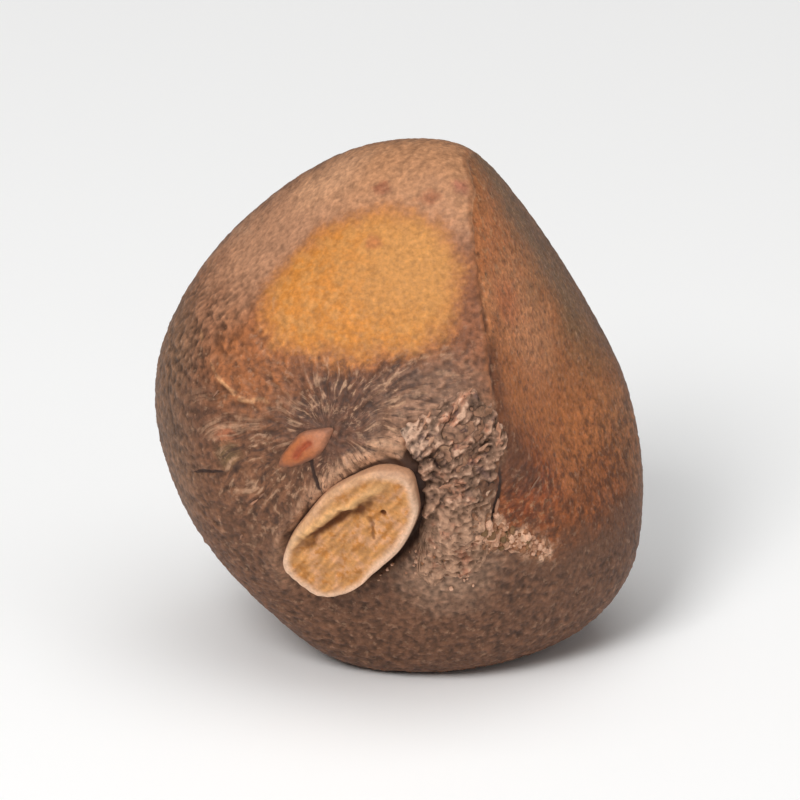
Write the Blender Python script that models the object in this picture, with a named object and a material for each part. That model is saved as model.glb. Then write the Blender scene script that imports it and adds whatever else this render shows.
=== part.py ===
"""Camellia tea seed: one dried seed with its pressed flats, ridge, raised seed scar, nub and cork patch.

The seed is one closed solid. Its coat is a ball of quads whose points are moved out to a distance
worked out for each direction from the seed's core: a body of six reaches, flattened by the flats
that the neighbours in the fruit pressed on it, with low relief added. The scar and the nub are
pads of their own, joined to the coat by a Boolean union. The front, which shows the scar, faces -Y.
"""

import math

import bmesh
import bpy
import numpy as np
from mathutils import Matrix, Vector

NAME = "camellia_tea_seed"
MM = 0.001

# The core, in millimetres from the middle of the foot of the seed's box
CORE = Vector((0.25, 0.325, 10.8))

# How far the coat would reach from the core if nothing had pressed on it, in millimetres
REACH_RIGHT, REACH_LEFT = 11.7, 10.7
REACH_BACK, REACH_FRONT = 8.9, 9.6
REACH_TOP, REACH_BOTTOM = 11.8, 13.5

# Each flat: degrees from the front to the right, degrees up, distance from the core in
# millimetres, and how sharply it meets what is round it, above the core and below it
FLATS = {
    "main": (-11, 33, 8.0, 12, 12),
    "scar": (-12, -22, 8.6, 13, 13),
    "right_low": (27, -23, 9.7, 12, 12),
    "low_right": (36, -10, 9.1, 14, 14),
    "right_back": (89, 30, 8.1, 20, 12),
    "top_left": (-70, 48, 9.9, 12, 12),
    "low_left": (-87, -41, 10.4, 10, 10),
    "underside": (90, -85, 11.3, 13, 13),
    "side": (68, 21, 7.2, 40, 12),
}

# How high above and below the core, as a share of the reach, one sharpness gives way to the other
FOOT_SPREAD = 0.3

# Broad swells and hollows: degrees right, degrees up, width and height in millimetres
SWELLS = {
    "patch": (-20, 52, 3.6, 0.22),
    "side_hollow": (66, 10, 3.4, -0.35),
    "below_nub": (-42, -8, 2.6, -0.18),
    "shoulder": (-62, 20, 3.0, 0.12),
    "back_dent": (165, -18, 4.2, -0.22),
}

# Ripples, each set a sum of waves: how many, shortest and longest in millimetres, height, seed
UNEVEN = (9, 7.0, 15.0, 0.045, 11)
CORK_LUMPS = (14, 1.5, 3.2, 0.055, 5)

# The cork patch, a rough plate beside the scar: place, half width, half height, thickness
CORK_AT = (12, 4)
CORK_HALF = (2.1, 3.6)
CORK_LEAN = 8
CORK_THICK = 0.32
CORK_EDGE = 0.5

# The seed scar, a raised oval pad: its place, the way its face looks, the lean of its long way,
# its halves along and across, its rise above and root below its widest line, the height of that
# line over the coat, and how far its lower end is squared off
SCAR_AT = (-14.5, -15.5)
SCAR_FACES = (-14, -12)
SCAR_LEAN = 51
SCAR_HALF = (4.15, 2.1)
SCAR_RISE, SCAR_ROOT, SCAR_LIFT = 0.4, 1.8, 0.25
SCAR_BLUNT = 0.4
MOAT_DEPTH, MOAT_WIDTH = 0.42, 0.6

# The nub above the scar, the pore that the root grows from, in the same terms
NUB_AT = (-28.3, 8.2)
NUB_FACES = (-27, 4)
NUB_LEAN = 42
NUB_HALF = (1.4, 0.6)
NUB_RISE, NUB_ROOT, NUB_LIFT = 0.22, 0.6, 0.02

# Points this near the resting flat, in millimetres, are brought down to it
LEVEL_WITHIN = 0.02

# Quads along one side of the ball, and the rounds of the two pads
BALL_QUADS = 24
SCAR_ROUND, SCAR_RINGS = 36, 12
NUB_ROUND, NUB_RINGS = 18, 8


def facing(right, up):
    """Unit direction; right 0 is the front (-Y) and grows towards +X, up grows towards +Z."""
    lon, lat = math.radians(right), math.radians(up)
    return np.array([
        math.cos(lat) * math.sin(lon),
        -math.cos(lat) * math.cos(lon),
        math.sin(lat),
    ])


def fade(distance, width):
    """1 where distance is well below zero, 0 well above, smooth over the width."""
    return 1 / (1 + np.exp(np.clip(4 * distance / width, -40, 40)))


def coat_reach(ways):
    """Distance of the smooth coat from the core along each unit direction."""
    across = np.where(ways[:, 0] > 0, REACH_RIGHT, REACH_LEFT)
    along = np.where(ways[:, 1] > 0, REACH_BACK, REACH_FRONT)
    upward = np.where(ways[:, 2] > 0, REACH_TOP, REACH_BOTTOM)
    nearness = np.linalg.norm(ways / np.stack([across, along, upward], axis=1), axis=1)
    above = fade(-ways[:, 2], FOOT_SPREAD)
    for right, up, distance, sharp_above, sharp_below in FLATS.values():
        sharpness = sharp_below + (sharp_above - sharp_below) * above
        pressed = np.clip(ways @ facing(right, up), 0, None) / distance
        nearness = (nearness ** sharpness + pressed ** sharpness) ** (1 / sharpness)
    return 1 / nearness


def seat_on_coat(place):
    """The point of the smooth coat that lies in this direction from the core."""
    way = facing(*place)
    return way * coat_reach(way[None])[0]


def leaning_axes(faces, lean):
    """Unit axes along, across and out of a feature that looks this way and leans by these degrees."""
    outward = facing(*faces)
    level = np.cross((0, 0, 1), outward)
    level /= np.linalg.norm(level)
    steep = np.cross(outward, level)
    turn = math.radians(lean)
    along = level * math.cos(turn) + steep * math.sin(turn)
    across = np.cross(outward, along)
    return along, across, outward


def swells(points):
    total = np.zeros(len(points))
    for right, up, width, height in SWELLS.values():
        gap = np.linalg.norm(points - seat_on_coat((right, up)), axis=1)
        total += height * np.exp(-(gap / width) ** 2)
    return total


def ripple(points, count, shortest, longest, height, seed):
    """A sum of waves that run in every direction through space, which leaves no pattern to see."""
    draw = np.random.default_rng(seed)
    total = np.zeros(len(points))
    for _ in range(count):
        way = draw.normal(size=3)
        way *= 2 * math.pi / (draw.uniform(shortest, longest) * np.linalg.norm(way))
        total += height * np.sin(points @ way + draw.uniform(0, 2 * math.pi))
    return total


def cork_relief(points):
    """Thickness of the rough cork plate, with a ragged outline and a lumpy top."""
    along, across, outward = leaning_axes(CORK_AT, CORK_LEAN)
    rise = points - seat_on_coat(CORK_AT)
    s, t = rise @ along / CORK_HALF[0], rise @ across / CORK_HALF[1]
    angle = np.arctan2(t, s)
    rim = 1 + 0.09 * np.sin(3 * angle + 0.6) + 0.06 * np.sin(7 * angle + 2.0)
    inside = fade((np.hypot(s, t) - rim) * CORK_HALF[0], CORK_EDGE)
    front = rise @ outward > -CORK_HALF[1]
    return np.where(front, inside * (CORK_THICK + ripple(points, *CORK_LUMPS)), 0)


def scar_moat(points):
    """A shallow trench round the scar, deeper on its right."""
    along, across, outward = leaning_axes(SCAR_FACES, SCAR_LEAN)
    rise = points - seat_on_coat(SCAR_AT)
    reach = np.hypot(rise @ along / SCAR_HALF[0], rise @ across / SCAR_HALF[1])
    gap = (reach - 1) * SCAR_HALF[1]
    rightward = 0.6 - 0.4 * np.tanh(rise @ across)
    front = rise @ outward > -SCAR_HALF[0]
    return np.where(front, -MOAT_DEPTH * rightward * np.exp(-(gap / MOAT_WIDTH) ** 2), 0)


def seed_points(ways):
    """The surface of the coat along each unit direction, in millimetres from the core."""
    reach = coat_reach(ways)
    points = ways * reach[:, None]
    reach += swells(points) + ripple(points, *UNEVEN) + cork_relief(points) + scar_moat(points)
    return ways * reach[:, None]


def material(name, colour, roughness):
    made = bpy.data.materials.new(name)
    made.use_nodes = True
    shader = made.node_tree.nodes["Principled BSDF"]
    shader.inputs["Base Color"].default_value = (*colour, 1)
    shader.inputs["Roughness"].default_value = roughness
    shader.inputs["Metallic"].default_value = 0.0
    return made


def add_object(name, mesh_maker, collection, finish):
    made = bpy.data.meshes.new(name)
    mesh_maker.to_mesh(made)
    mesh_maker.free()
    piece = bpy.data.objects.new(name, made)
    made.materials.append(finish)
    made.shade_smooth()
    collection.objects.link(piece)
    return piece


def make_coat(collection, finish):
    """The whole seed but its two pads: a ball of quads moved out to the coat and cut level below."""
    ball = bmesh.new()
    bmesh.ops.create_cube(ball, size=2)
    bmesh.ops.subdivide_edges(ball, edges=ball.edges[:], cuts=BALL_QUADS - 1, use_grid_fill=True)
    corners = np.array([v.co for v in ball.verts])
    ways = np.tan(corners * math.pi / 4)
    ways /= np.linalg.norm(ways, axis=1, keepdims=True)
    for vertex, point in zip(ball.verts, seed_points(ways)):
        vertex.co = (Vector(point) + CORE) * MM
    below = bmesh.ops.bisect_plane(
        ball,
        geom=ball.verts[:] + ball.edges[:] + ball.faces[:],
        dist=LEVEL_WITHIN * MM,
        plane_co=(0, 0, 0),
        plane_no=(0, 0, -1),
        clear_outer=True,
    )
    for vertex in ball.verts:
        if vertex.co.z < LEVEL_WITHIN * MM:
            vertex.co.z = 0
    rim = [part for part in below["geom_cut"] if isinstance(part, bmesh.types.BMEdge)]
    bmesh.ops.contextual_create(ball, geom=rim)
    bmesh.ops.recalc_face_normals(ball, faces=ball.faces[:])
    bmesh.ops.triangulate(ball, faces=[face for face in ball.faces if len(face.verts) == 4])
    return add_object("seed", ball, collection, finish)


def make_pad(name, place, axes, halves, heights, blunt, rounds, collection, finish):
    """An oval pillow with a flattened top; blunt squares off the end that points down to the left."""
    rise, root, lift = heights
    pad = bmesh.new()
    bmesh.ops.create_uvsphere(pad, u_segments=rounds[0], v_segments=rounds[1], radius=1)
    for vertex in pad.verts:
        x, y, z = vertex.co
        square = blunt * max(0, -x)
        y *= 1 + square * (1 - y * y)
        level = 1 - (1 - abs(z)) ** 2
        vertex.co = (x * halves[0], y * halves[1], level * rise if z > 0 else -level * root)
    turn = Matrix(axes).transposed().to_4x4()
    seat = Vector(seat_on_coat(place) + axes[2] * lift) + CORE
    bmesh.ops.transform(pad, matrix=Matrix.Translation(seat) @ turn, verts=pad.verts)
    bmesh.ops.scale(pad, vec=(MM, MM, MM), verts=pad.verts)
    bmesh.ops.triangulate(pad, faces=pad.faces[:])
    piece = add_object(name, pad, collection, finish)
    piece.hide_render = True
    piece.display_type = "WIRE"
    return piece


def join_to(seed, pads):
    for pad in pads:
        union = seed.modifiers.new("join_" + pad.name, "BOOLEAN")
        union.operation = "UNION"
        union.solver = "EXACT"
        union.object = pad


def main():
    for piece in list(bpy.data.objects):
        bpy.data.objects.remove(piece, do_unlink=True)
    scene = bpy.context.scene
    scene.unit_settings.system = "METRIC"
    seed_group = bpy.data.collections.new(NAME)
    pad_group = bpy.data.collections.new(NAME + "_pads")
    scene.collection.children.link(seed_group)
    scene.collection.children.link(pad_group)

    coat_brown = material("seed_coat", (0.24, 0.115, 0.062), 0.62)
    scar_tan = material("seed_scar", (0.58, 0.29, 0.12), 0.7)
    nub_red = material("seed_nub", (0.42, 0.16, 0.075), 0.6)

    seed = make_coat(seed_group, coat_brown)
    scar = make_pad(
        "scar_pad", SCAR_AT, leaning_axes(SCAR_FACES, SCAR_LEAN), SCAR_HALF,
        (SCAR_RISE, SCAR_ROOT, SCAR_LIFT), SCAR_BLUNT, (SCAR_ROUND, SCAR_RINGS),
        pad_group, scar_tan,
    )
    nub = make_pad(
        "nub_pad", NUB_AT, leaning_axes(NUB_FACES, NUB_LEAN), NUB_HALF,
        (NUB_RISE, NUB_ROOT, NUB_LIFT), 0, (NUB_ROUND, NUB_RINGS),
        pad_group, nub_red,
    )
    join_to(seed, [scar, nub])


main()
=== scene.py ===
# %% [markdown]
# # Dressing a camellia tea seed
#
# A camellia tea seed is the hard brown seed that tea oil is pressed from. Several of them grow
# in one round fruit, so tight that each is pressed flat by its neighbours and stays round only on
# its back. Where two flats meet there is a ridge. A pale oval scar shows where the seed hung on,
# and above it sits the small nub that the root grows out of.
#
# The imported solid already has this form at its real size. What it lacks is skin: wrinkles, the
# golden patch, rough cork, a dry pithy scar. This lesson makes those as new pieces that stand in
# for the plain solid. The first cell loads the frame, which every later piece is placed in.

import math

import bmesh
import bpy
import numpy as np
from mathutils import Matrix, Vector, noise


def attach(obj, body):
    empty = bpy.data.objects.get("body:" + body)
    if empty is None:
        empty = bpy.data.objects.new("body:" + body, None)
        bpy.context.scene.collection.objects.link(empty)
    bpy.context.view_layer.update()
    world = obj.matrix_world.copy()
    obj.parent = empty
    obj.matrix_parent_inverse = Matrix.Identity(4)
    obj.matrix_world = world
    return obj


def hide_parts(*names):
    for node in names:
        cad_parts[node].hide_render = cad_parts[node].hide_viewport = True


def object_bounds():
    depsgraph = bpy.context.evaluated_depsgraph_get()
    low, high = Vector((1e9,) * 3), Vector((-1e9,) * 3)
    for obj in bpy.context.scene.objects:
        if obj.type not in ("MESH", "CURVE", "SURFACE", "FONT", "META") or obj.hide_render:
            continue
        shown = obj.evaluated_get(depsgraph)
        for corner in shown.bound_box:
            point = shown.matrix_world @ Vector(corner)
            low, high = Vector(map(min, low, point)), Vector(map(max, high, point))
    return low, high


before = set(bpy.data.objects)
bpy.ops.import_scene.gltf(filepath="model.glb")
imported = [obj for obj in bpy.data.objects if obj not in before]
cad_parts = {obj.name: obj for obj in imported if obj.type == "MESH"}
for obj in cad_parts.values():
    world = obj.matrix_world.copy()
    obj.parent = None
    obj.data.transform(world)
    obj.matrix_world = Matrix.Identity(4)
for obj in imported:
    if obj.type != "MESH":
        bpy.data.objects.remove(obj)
MM = 0.001
cad_low, cad_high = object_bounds()
print("the seed measures", [round(side / MM, 1) for side in cad_high - cad_low], "mm")

# %% [markdown]
# ## The studio
#
# The photograph has a white ground and one broad soft light from above, a little to the left.
# A large plane of the palest grey makes a floor that reaches past the edge of the picture.

# %% Floor
FLOOR_SIDE = 4.0
FLOOR_UNDER = 0.02 * MM


def plain_material(name, colour, roughness):
    made = bpy.data.materials.new(name)
    made.use_nodes = True
    shader = made.node_tree.nodes["Principled BSDF"]
    shader.inputs["Base Color"].default_value = (*colour, 1)
    shader.inputs["Roughness"].default_value = roughness
    return made


bpy.ops.mesh.primitive_plane_add(size=FLOOR_SIDE, location=(0, 0, -FLOOR_UNDER))
floor = bpy.context.object
floor.name = "floor"
floor.data.materials.append(plain_material("pale_floor", (0.97, 0.97, 0.965), 0.7))
print("floor", FLOOR_SIDE, "m wide")

# %% [markdown]
# ## Light
#
# Area lights are the soft boxes of a studio: the larger the box, the softer the edge of its
# shadow. The key light from the upper left carries the picture, a large box overhead whitens the
# floor and the top, and a weak one opens the shadows on the right. The pale world round them
# stands for the white walls of the room.

# %% Lights
seed_middle = (cad_low + cad_high) / 2


def soft_box(name, right, up, distance, side, watts):
    """A square light, placed by degrees to the right of the front and up, that looks at the seed."""
    made = bpy.data.objects.new(name, bpy.data.lights.new(name, "AREA"))
    lon, lat = math.radians(right), math.radians(up)
    way = Vector((math.cos(lat) * math.sin(lon), -math.cos(lat) * math.cos(lon), math.sin(lat)))
    made.location = seed_middle + way * distance
    made.rotation_euler = (-way).to_track_quat("-Z", "Y").to_euler()
    made.data.size = side
    made.data.energy = watts
    bpy.context.scene.collection.objects.link(made)


# Each box: degrees right and up, metres away, metres wide, watts
BOXES = {
    "key": (-28, 42, 0.50, 0.20, 1.65),
    "overhead": (12, 82, 0.60, 0.60, 1.9),
    "fill": (66, 22, 0.60, 0.50, 0.42),
}
for name, setting in BOXES.items():
    soft_box(name, *setting)

ROOM_LIGHT = 0.18

world = bpy.data.worlds.new("white_room")
world.use_nodes = True
walls = world.node_tree.nodes["Background"]
walls.inputs["Color"].default_value = (1, 1, 1, 1)
walls.inputs["Strength"].default_value = ROOM_LIGHT
bpy.context.scene.world = world
bpy.context.scene.view_settings.view_transform = "Standard"
print(len(BOXES), "soft boxes")

# %% [markdown]
# ## Camera
#
# The photograph looks down on the seed by about 22 degrees, from straight in front. It was taken
# from so far off that the seed is drawn almost without perspective, and a long lens from nearly
# half a metre away gives the same. The picture's width is chosen in millimetres at the seed.

# %% Camera
LOOK_DOWN = 22
CAMERA_AWAY = 0.45
PICTURE_WIDE = 34 * MM

camera = bpy.data.objects.new("camera", bpy.data.cameras.new("camera"))
tilt = math.radians(LOOK_DOWN)
back = Vector((0, -math.cos(tilt), math.sin(tilt)))
camera.location = seed_middle + back * CAMERA_AWAY
camera.rotation_euler = (-back).to_track_quat("-Z", "Y").to_euler()
camera.data.lens = camera.data.sensor_width * CAMERA_AWAY / PICTURE_WIDE
camera.data.clip_start = 0.05
bpy.context.scene.collection.objects.link(camera)
bpy.context.scene.camera = camera
print("lens", round(camera.data.lens), "mm")

# %% [markdown]
# ## The form of the seed
#
# The seed is described from one point, its core, by a rule: how far is the skin in this direction?
# Without neighbours it would be a ball with a different reach in each of six directions. Each
# neighbour pressed a flat on it. A power mean joins the two, and the power says how sharply they
# meet: 12 gives a soft shoulder, 40 the crisp ridge at the side.
#
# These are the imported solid's own sizes in millimetres, repeated so that the new skin, which
# has many more points, lies where the solid is.

# %% The core, the reaches and the flats
CORE = np.array([0.25, 0.325, 10.8])
REACH_RIGHT, REACH_LEFT = 11.7, 10.7
REACH_BACK, REACH_FRONT = 8.9, 9.6
REACH_TOP, REACH_BOTTOM = 11.8, 13.5

# Each flat: degrees from the front to the right, degrees up, distance, and how sharply it
# meets what is round it, above the core and below it
FLATS = {
    "main": (-11, 33, 8.0, 12, 12),
    "scar": (-12, -22, 8.6, 13, 13),
    "right_low": (27, -23, 9.7, 12, 12),
    "low_right": (36, -10, 9.1, 14, 14),
    "right_back": (89, 30, 8.1, 20, 12),
    "top_left": (-70, 48, 9.9, 12, 12),
    "low_left": (-87, -41, 10.4, 10, 10),
    "underside": (90, -85, 11.3, 13, 13),
    "side": (68, 21, 7.2, 40, 12),
}

# How high above and below the core, as a share of the reach, one sharpness gives way to the other
FOOT_SPREAD = 0.3


def facing(right, up):
    """Unit direction; right 0 is the front (-Y) and grows towards +X, up grows towards +Z."""
    lon, lat = math.radians(right), math.radians(up)
    return np.array([
        math.cos(lat) * math.sin(lon),
        -math.cos(lat) * math.cos(lon),
        math.sin(lat),
    ])


def fade(distance, width):
    """1 where distance is well below zero, 0 well above, smooth over the width."""
    return 1 / (1 + np.exp(np.clip(4 * distance / width, -40, 40)))


def coat_reach(ways, without=()):
    """Distance of the smooth skin from the core along each unit direction."""
    across = np.where(ways[:, 0] > 0, REACH_RIGHT, REACH_LEFT)
    along = np.where(ways[:, 1] > 0, REACH_BACK, REACH_FRONT)
    upward = np.where(ways[:, 2] > 0, REACH_TOP, REACH_BOTTOM)
    nearness = np.linalg.norm(ways / np.stack([across, along, upward], axis=1), axis=1)
    above = fade(-ways[:, 2], FOOT_SPREAD)
    for name, (right, up, distance, sharp_above, sharp_below) in FLATS.items():
        if name not in without:
            sharpness = sharp_below + (sharp_above - sharp_below) * above
            pressed = np.clip(ways @ facing(right, up), 0, None) / distance
            nearness = (nearness ** sharpness + pressed ** sharpness) ** (1 / sharpness)
    return 1 / nearness


print("the front of the skin is", round(float(coat_reach(facing(0, 0)[None])[0]), 2), "mm from the core")

# %% [markdown]
# Places on the skin are named by two angles, like towns on a globe. A feature that lies on the
# skin, such as the scar, also needs its own three axes: along it, across it and out of it.

# %% Places and axes on the skin
def seat_on_coat(place):
    """The point of the smooth skin that lies in this direction from the core."""
    way = facing(*place)
    return way * coat_reach(way[None])[0]


def leaning_axes(faces, lean):
    """Unit axes along, across and out of a feature that looks this way and leans by these degrees."""
    outward = facing(*faces)
    level = np.cross((0, 0, 1), outward)
    level /= np.linalg.norm(level)
    steep = np.cross(outward, level)
    turn = math.radians(lean)
    along = level * math.cos(turn) + steep * math.sin(turn)
    across = np.cross(outward, along)
    return along, across, outward


def away_from(points, place):
    """Millimetres from each point to a place on the skin."""
    return np.linalg.norm(points - seat_on_coat(place), axis=1)


def seen_on(points, place, faces, lean):
    """Millimetres from a place to each point: along its feature, across it and out of it."""
    rise = points - seat_on_coat(place)
    return [rise @ axis for axis in leaning_axes(faces, lean)]


print("axes at the front:", [axis.round(2).tolist() for axis in leaning_axes((0, 0), 0)])

# %% [markdown]
# Low relief comes next: a few broad swells and hollows, and ripples, which are sums of waves that
# run through space in random directions. The random draws are seeded, so the seed is the same
# each time the script runs.

# %% Swells and ripples
# Each swell: degrees right and up, how far it reaches and how high it is, in millimetres
SWELLS = {
    "patch": (-20, 52, 3.6, 0.22),
    "side_hollow": (66, 10, 3.4, -0.35),
    "below_nub": (-42, -8, 2.6, -0.18),
    "shoulder": (-62, 20, 3.0, 0.12),
    "back_dent": (165, -18, 4.2, -0.22),
}

# How many waves, shortest and longest in millimetres, height, seed
UNEVEN = (9, 7.0, 15.0, 0.045, 11)
CORK_LUMPS = (14, 1.5, 3.2, 0.055, 5)


def swells(points):
    """Height of all the swells and hollows at each point."""
    total = np.zeros(len(points))
    for right, up, width, height in SWELLS.values():
        total += height * np.exp(-(away_from(points, (right, up)) / width) ** 2)
    return total


def ripple(points, count, shortest, longest, height, seed):
    """A sum of waves that run in every direction through space, which leaves no pattern to see."""
    draw = np.random.default_rng(seed)
    total = np.zeros(len(points))
    for _ in range(count):
        way = draw.normal(size=3)
        way *= 2 * math.pi / (draw.uniform(shortest, longest) * np.linalg.norm(way))
        total += height * np.sin(points @ way + draw.uniform(0, 2 * math.pi))
    return total


print(len(SWELLS), "swells,", UNEVEN[0], "waves")

# %% [markdown]
# Two more forms belong to the solid: the raised plate that the cork sits on, and the shallow
# trench round the scar, deeper on its lower right where the photograph shows a dark gap.

# %% Cork plate and scar trench
CORK_AT = (12, 4)
CORK_HALF = (2.1, 3.6)
CORK_LEAN = 8
CORK_THICK = 0.32
CORK_EDGE = 0.5

SCAR_AT = (-14.5, -15.5)
SCAR_FACES = (-14, -12)
SCAR_LEAN = 51
SCAR_HALF = (4.15, 2.1)
MOAT_DEPTH, MOAT_WIDTH = 0.42, 0.6


def cork_plate(points):
    """Thickness of the plate under the cork, with a ragged outline and a lumpy top."""
    x, y, out = seen_on(points, CORK_AT, CORK_AT, CORK_LEAN)
    s, t = x / CORK_HALF[0], y / CORK_HALF[1]
    angle = np.arctan2(t, s)
    rim = 1 + 0.09 * np.sin(3 * angle + 0.6) + 0.06 * np.sin(7 * angle + 2.0)
    inside = fade((np.hypot(s, t) - rim) * CORK_HALF[0], CORK_EDGE)
    return np.where(out > -CORK_HALF[1], inside * (CORK_THICK + ripple(points, *CORK_LUMPS)), 0)


def scar_moat(points):
    """A shallow trench round the scar, deeper on its lower right."""
    x, y, out = seen_on(points, SCAR_AT, SCAR_FACES, SCAR_LEAN)
    gap = (np.hypot(x / SCAR_HALF[0], y / SCAR_HALF[1]) - 1) * SCAR_HALF[1]
    depth = -MOAT_DEPTH * (0.6 - 0.4 * np.tanh(y))
    return np.where(out > -SCAR_HALF[0], depth * np.exp(-(gap / MOAT_WIDTH) ** 2), 0)


def seed_points(ways):
    """The surface of the seed along each unit direction, in millimetres from the core."""
    reach = coat_reach(ways)
    points = ways * reach[:, None]
    reach += swells(points) + ripple(points, *UNEVEN) + cork_plate(points) + scar_moat(points)
    return ways * reach[:, None]


print("scar", [2 * half for half in SCAR_HALF], "mm, cork", [2 * half for half in CORK_HALF], "mm")

# %% [markdown]
# ## A ball of even quads
#
# A ball with poles would pinch the skin at two points. A cube that is split again and again
# and then blown up to a ball has even quads all over. Blender's Subdivision Surface modifier in
# its Simple mode does the splitting: seven levels turn 6 faces into 98,304. The points are then
# drawn a little towards the front, because the finest wrinkles are round the scar.

# %% Ball of directions
SPLITS = 7
FRONT_PULL, PULLED_TO = 0.32, (-4, 14)


def split_cube(levels):
    """The mesh of a cube whose faces are split this many times."""
    bpy.ops.mesh.primitive_cube_add(size=2)
    cube = bpy.context.object
    split = cube.modifiers.new("split", "SUBSURF")
    split.subdivision_type = "SIMPLE"
    split.levels = split.render_levels = levels
    graph = bpy.context.evaluated_depsgraph_get()
    mesh = bpy.data.meshes.new_from_object(cube.evaluated_get(graph))
    bpy.data.objects.remove(cube)
    return mesh


def read_points(mesh):
    """The points of a mesh, one row for each."""
    flat = np.empty(len(mesh.vertices) * 3)
    mesh.vertices.foreach_get("co", flat)
    return flat.reshape(-1, 3)


def ball_ways(mesh):
    """The points of the split cube as even unit directions, denser towards the front."""
    ways = np.tan(read_points(mesh) * math.pi / 4)
    ways /= np.linalg.norm(ways, axis=1, keepdims=True)
    ways += FRONT_PULL * facing(*PULLED_TO)
    return ways / np.linalg.norm(ways, axis=1, keepdims=True)


coat_mesh = split_cube(SPLITS)
coat_ways = ball_ways(coat_mesh)
coat_base = seed_points(coat_ways)
print(len(coat_mesh.polygons), "quads")

# %% [markdown]
# ## Measures that the finish needs
#
# Paint and wrinkles both depend on where a point lies: how far from the ridge, the scar, the
# golden patch. Each of these is one number at each point of the skin. They are worked out once,
# used below to raise the fine relief, and stored on the mesh as attributes for the material.
#
# The ridge is where the flats on the right take over from the rest of the seed, so the measure
# compares how far both reach in the same direction.

# %% Distance from the ridge
RIGHT_HAND = ("side", "low_right", "right_back")
FARTHEST = 9.0


def grain(points, size, seed=0):
    """Smooth noise from about -1 to 1, with lumps about this many millimetres across."""
    places = points / size + 31.7 * seed
    return np.array([noise.noise(place) for place in places.tolist()])


def shake(points, size, seeds):
    """Smooth noise in two or three directions, one for each seed."""
    return np.stack([grain(points, size, seed) for seed in seeds], axis=1)


def even_out(values):
    """The same values with a mean of 0 and a spread of 1."""
    return (values - values.mean()) / values.std()


def ridge_gap(ways):
    """Millimetres from the ridge: above 0 on the round of the seed, below 0 on its right-hand flats."""
    right_hand = [FLATS[name] for name in RIGHT_HAND]
    pressed = [ways @ facing(right, up) / distance for right, up, distance, *_ in right_hand]
    flats = 1 / np.clip(np.max(pressed, axis=0), 0.05, None)
    return np.clip(flats - coat_reach(ways, without=RIGHT_HAND), -FARTHEST, FARTHEST)


wobble = 0.16 * grain(coat_base, 1.6, 1) + 0.12 * grain(coat_base, 0.5, 2)
coat_ridge = ridge_gap(coat_ways) + wobble
print("right of the ridge lie", int((coat_ridge < 0).sum()), "points")

# %% [markdown]
# The golden patch has an outline of its own, a rounded shield. A closed outline is kept as its
# corners round a middle, and the way from the middle says which side of the outline a point is.

# %% Distance from the golden patch and from the scar
PATCH_AT = (-21, 55.5)
PATCH_CORNERS = (
    (-4.3, -1.1), (-3.4, 1.1), (-1.1, 2.9), (1.5, 3.45), (2.9, 3.0), (3.6, 2.0),
    (4.0, 0.2), (3.5, -1.5), (1.5, -2.6), (-1.2, -3.0), (-3.4, -2.8),
)
# The patch curves with the skin, and what lies deeper than this is on the far side of the seed
PATCH_DEEP = 4.0
SCAR_BLUNT = 0.4


def outline_reach(angle, corners):
    """How far out a closed outline, whose corners stand round its middle, lies at each angle."""
    angles = [math.atan2(y, x) for x, y in corners]
    reaches = [math.hypot(x, y) for x, y in corners]
    return np.interp(angle, angles, reaches, period=2 * math.pi)


def patch_gap(points):
    """Millimetres outside the golden patch, negative within it."""
    x, y, out = seen_on(points, PATCH_AT, PATCH_AT, 0)
    gap = np.hypot(x, y) - outline_reach(np.arctan2(y, x), PATCH_CORNERS)
    return np.where(out < -PATCH_DEEP, FARTHEST, gap)


def pad_gap(points):
    """Millimetres outside the squared-off outline of the scar, negative within it."""
    x, y, out = seen_on(points, SCAR_AT, SCAR_FACES, SCAR_LEAN)
    s, t = x / SCAR_HALF[0], y / SCAR_HALF[1]
    t = t / (1 + SCAR_BLUNT * np.clip(-s, 0, 1) * (1 - np.clip(t * t, 0, 1)))
    gap = (np.hypot(s, t) - 1) * SCAR_HALF[1]
    return np.where(out < -SCAR_HALF[0], FARTHEST, gap)


coat_patch = patch_gap(coat_base)
coat_pad = pad_gap(coat_base + 0.06 * np.outer(grain(coat_base, 0.6, 3), (1, 0, 1)))
print("golden patch covers", int((coat_patch < 0).sum()), "points")

# %% [markdown]
# Cracks and creases are lines. Each is kept as the few places that it passes through, and each
# point of the skin gets its distance from the nearest line, in widths of that line.

# %% Distance from cracks and creases
# Each line: its width in millimetres and the places that it passes through
CRACKS = (
    (0.07, ((-62, -6), (-55.6, -3.6), (-50.8, -2.4))),
    (0.09, ((-26, 4.4), (-25.4, 1), (-23.6, -2.4))),
    (0.20, ((-4, 13.6), (-1.2, 9.6), (0.8, 7.2), (3.0, 1.6), (4.2, -4.4))),
    (0.10, ((25.6, 5.2), (26.2, -6.8), (24, -14))),
)
CREASES = (
    (0.10, ((-54.8, 43.6), (-51.6, 40.4), (-41.6, 36.4), (-32.8, 32), (-28.4, 28.8))),
    (0.11, ((-72.4, 26.4), (-62.4, 22.4), (-55.2, 18.8), (-48.8, 16.8), (-42.4, 17.6))),
)


def gap_to_path(points, path):
    """Distance from each point to a line of straight pieces, in two or three dimensions."""
    best = np.full(len(points), np.inf)
    for start, end in zip(path, path[1:]):
        way = end - start
        share = np.clip((points - start) @ way / (way @ way), 0, 1)
        best = np.minimum(best, np.linalg.norm(points - start - np.outer(share, way), axis=1))
    return best


def nearest_line(points, lines):
    """Distance to the nearest of some lines on the skin, counted in that line's width."""
    gaps = []
    for width, places in lines:
        path = [seat_on_coat(place) for place in places]
        gaps.append(gap_to_path(points, path) / width)
    return np.clip(np.min(gaps, axis=0), 0, FARTHEST)


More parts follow.
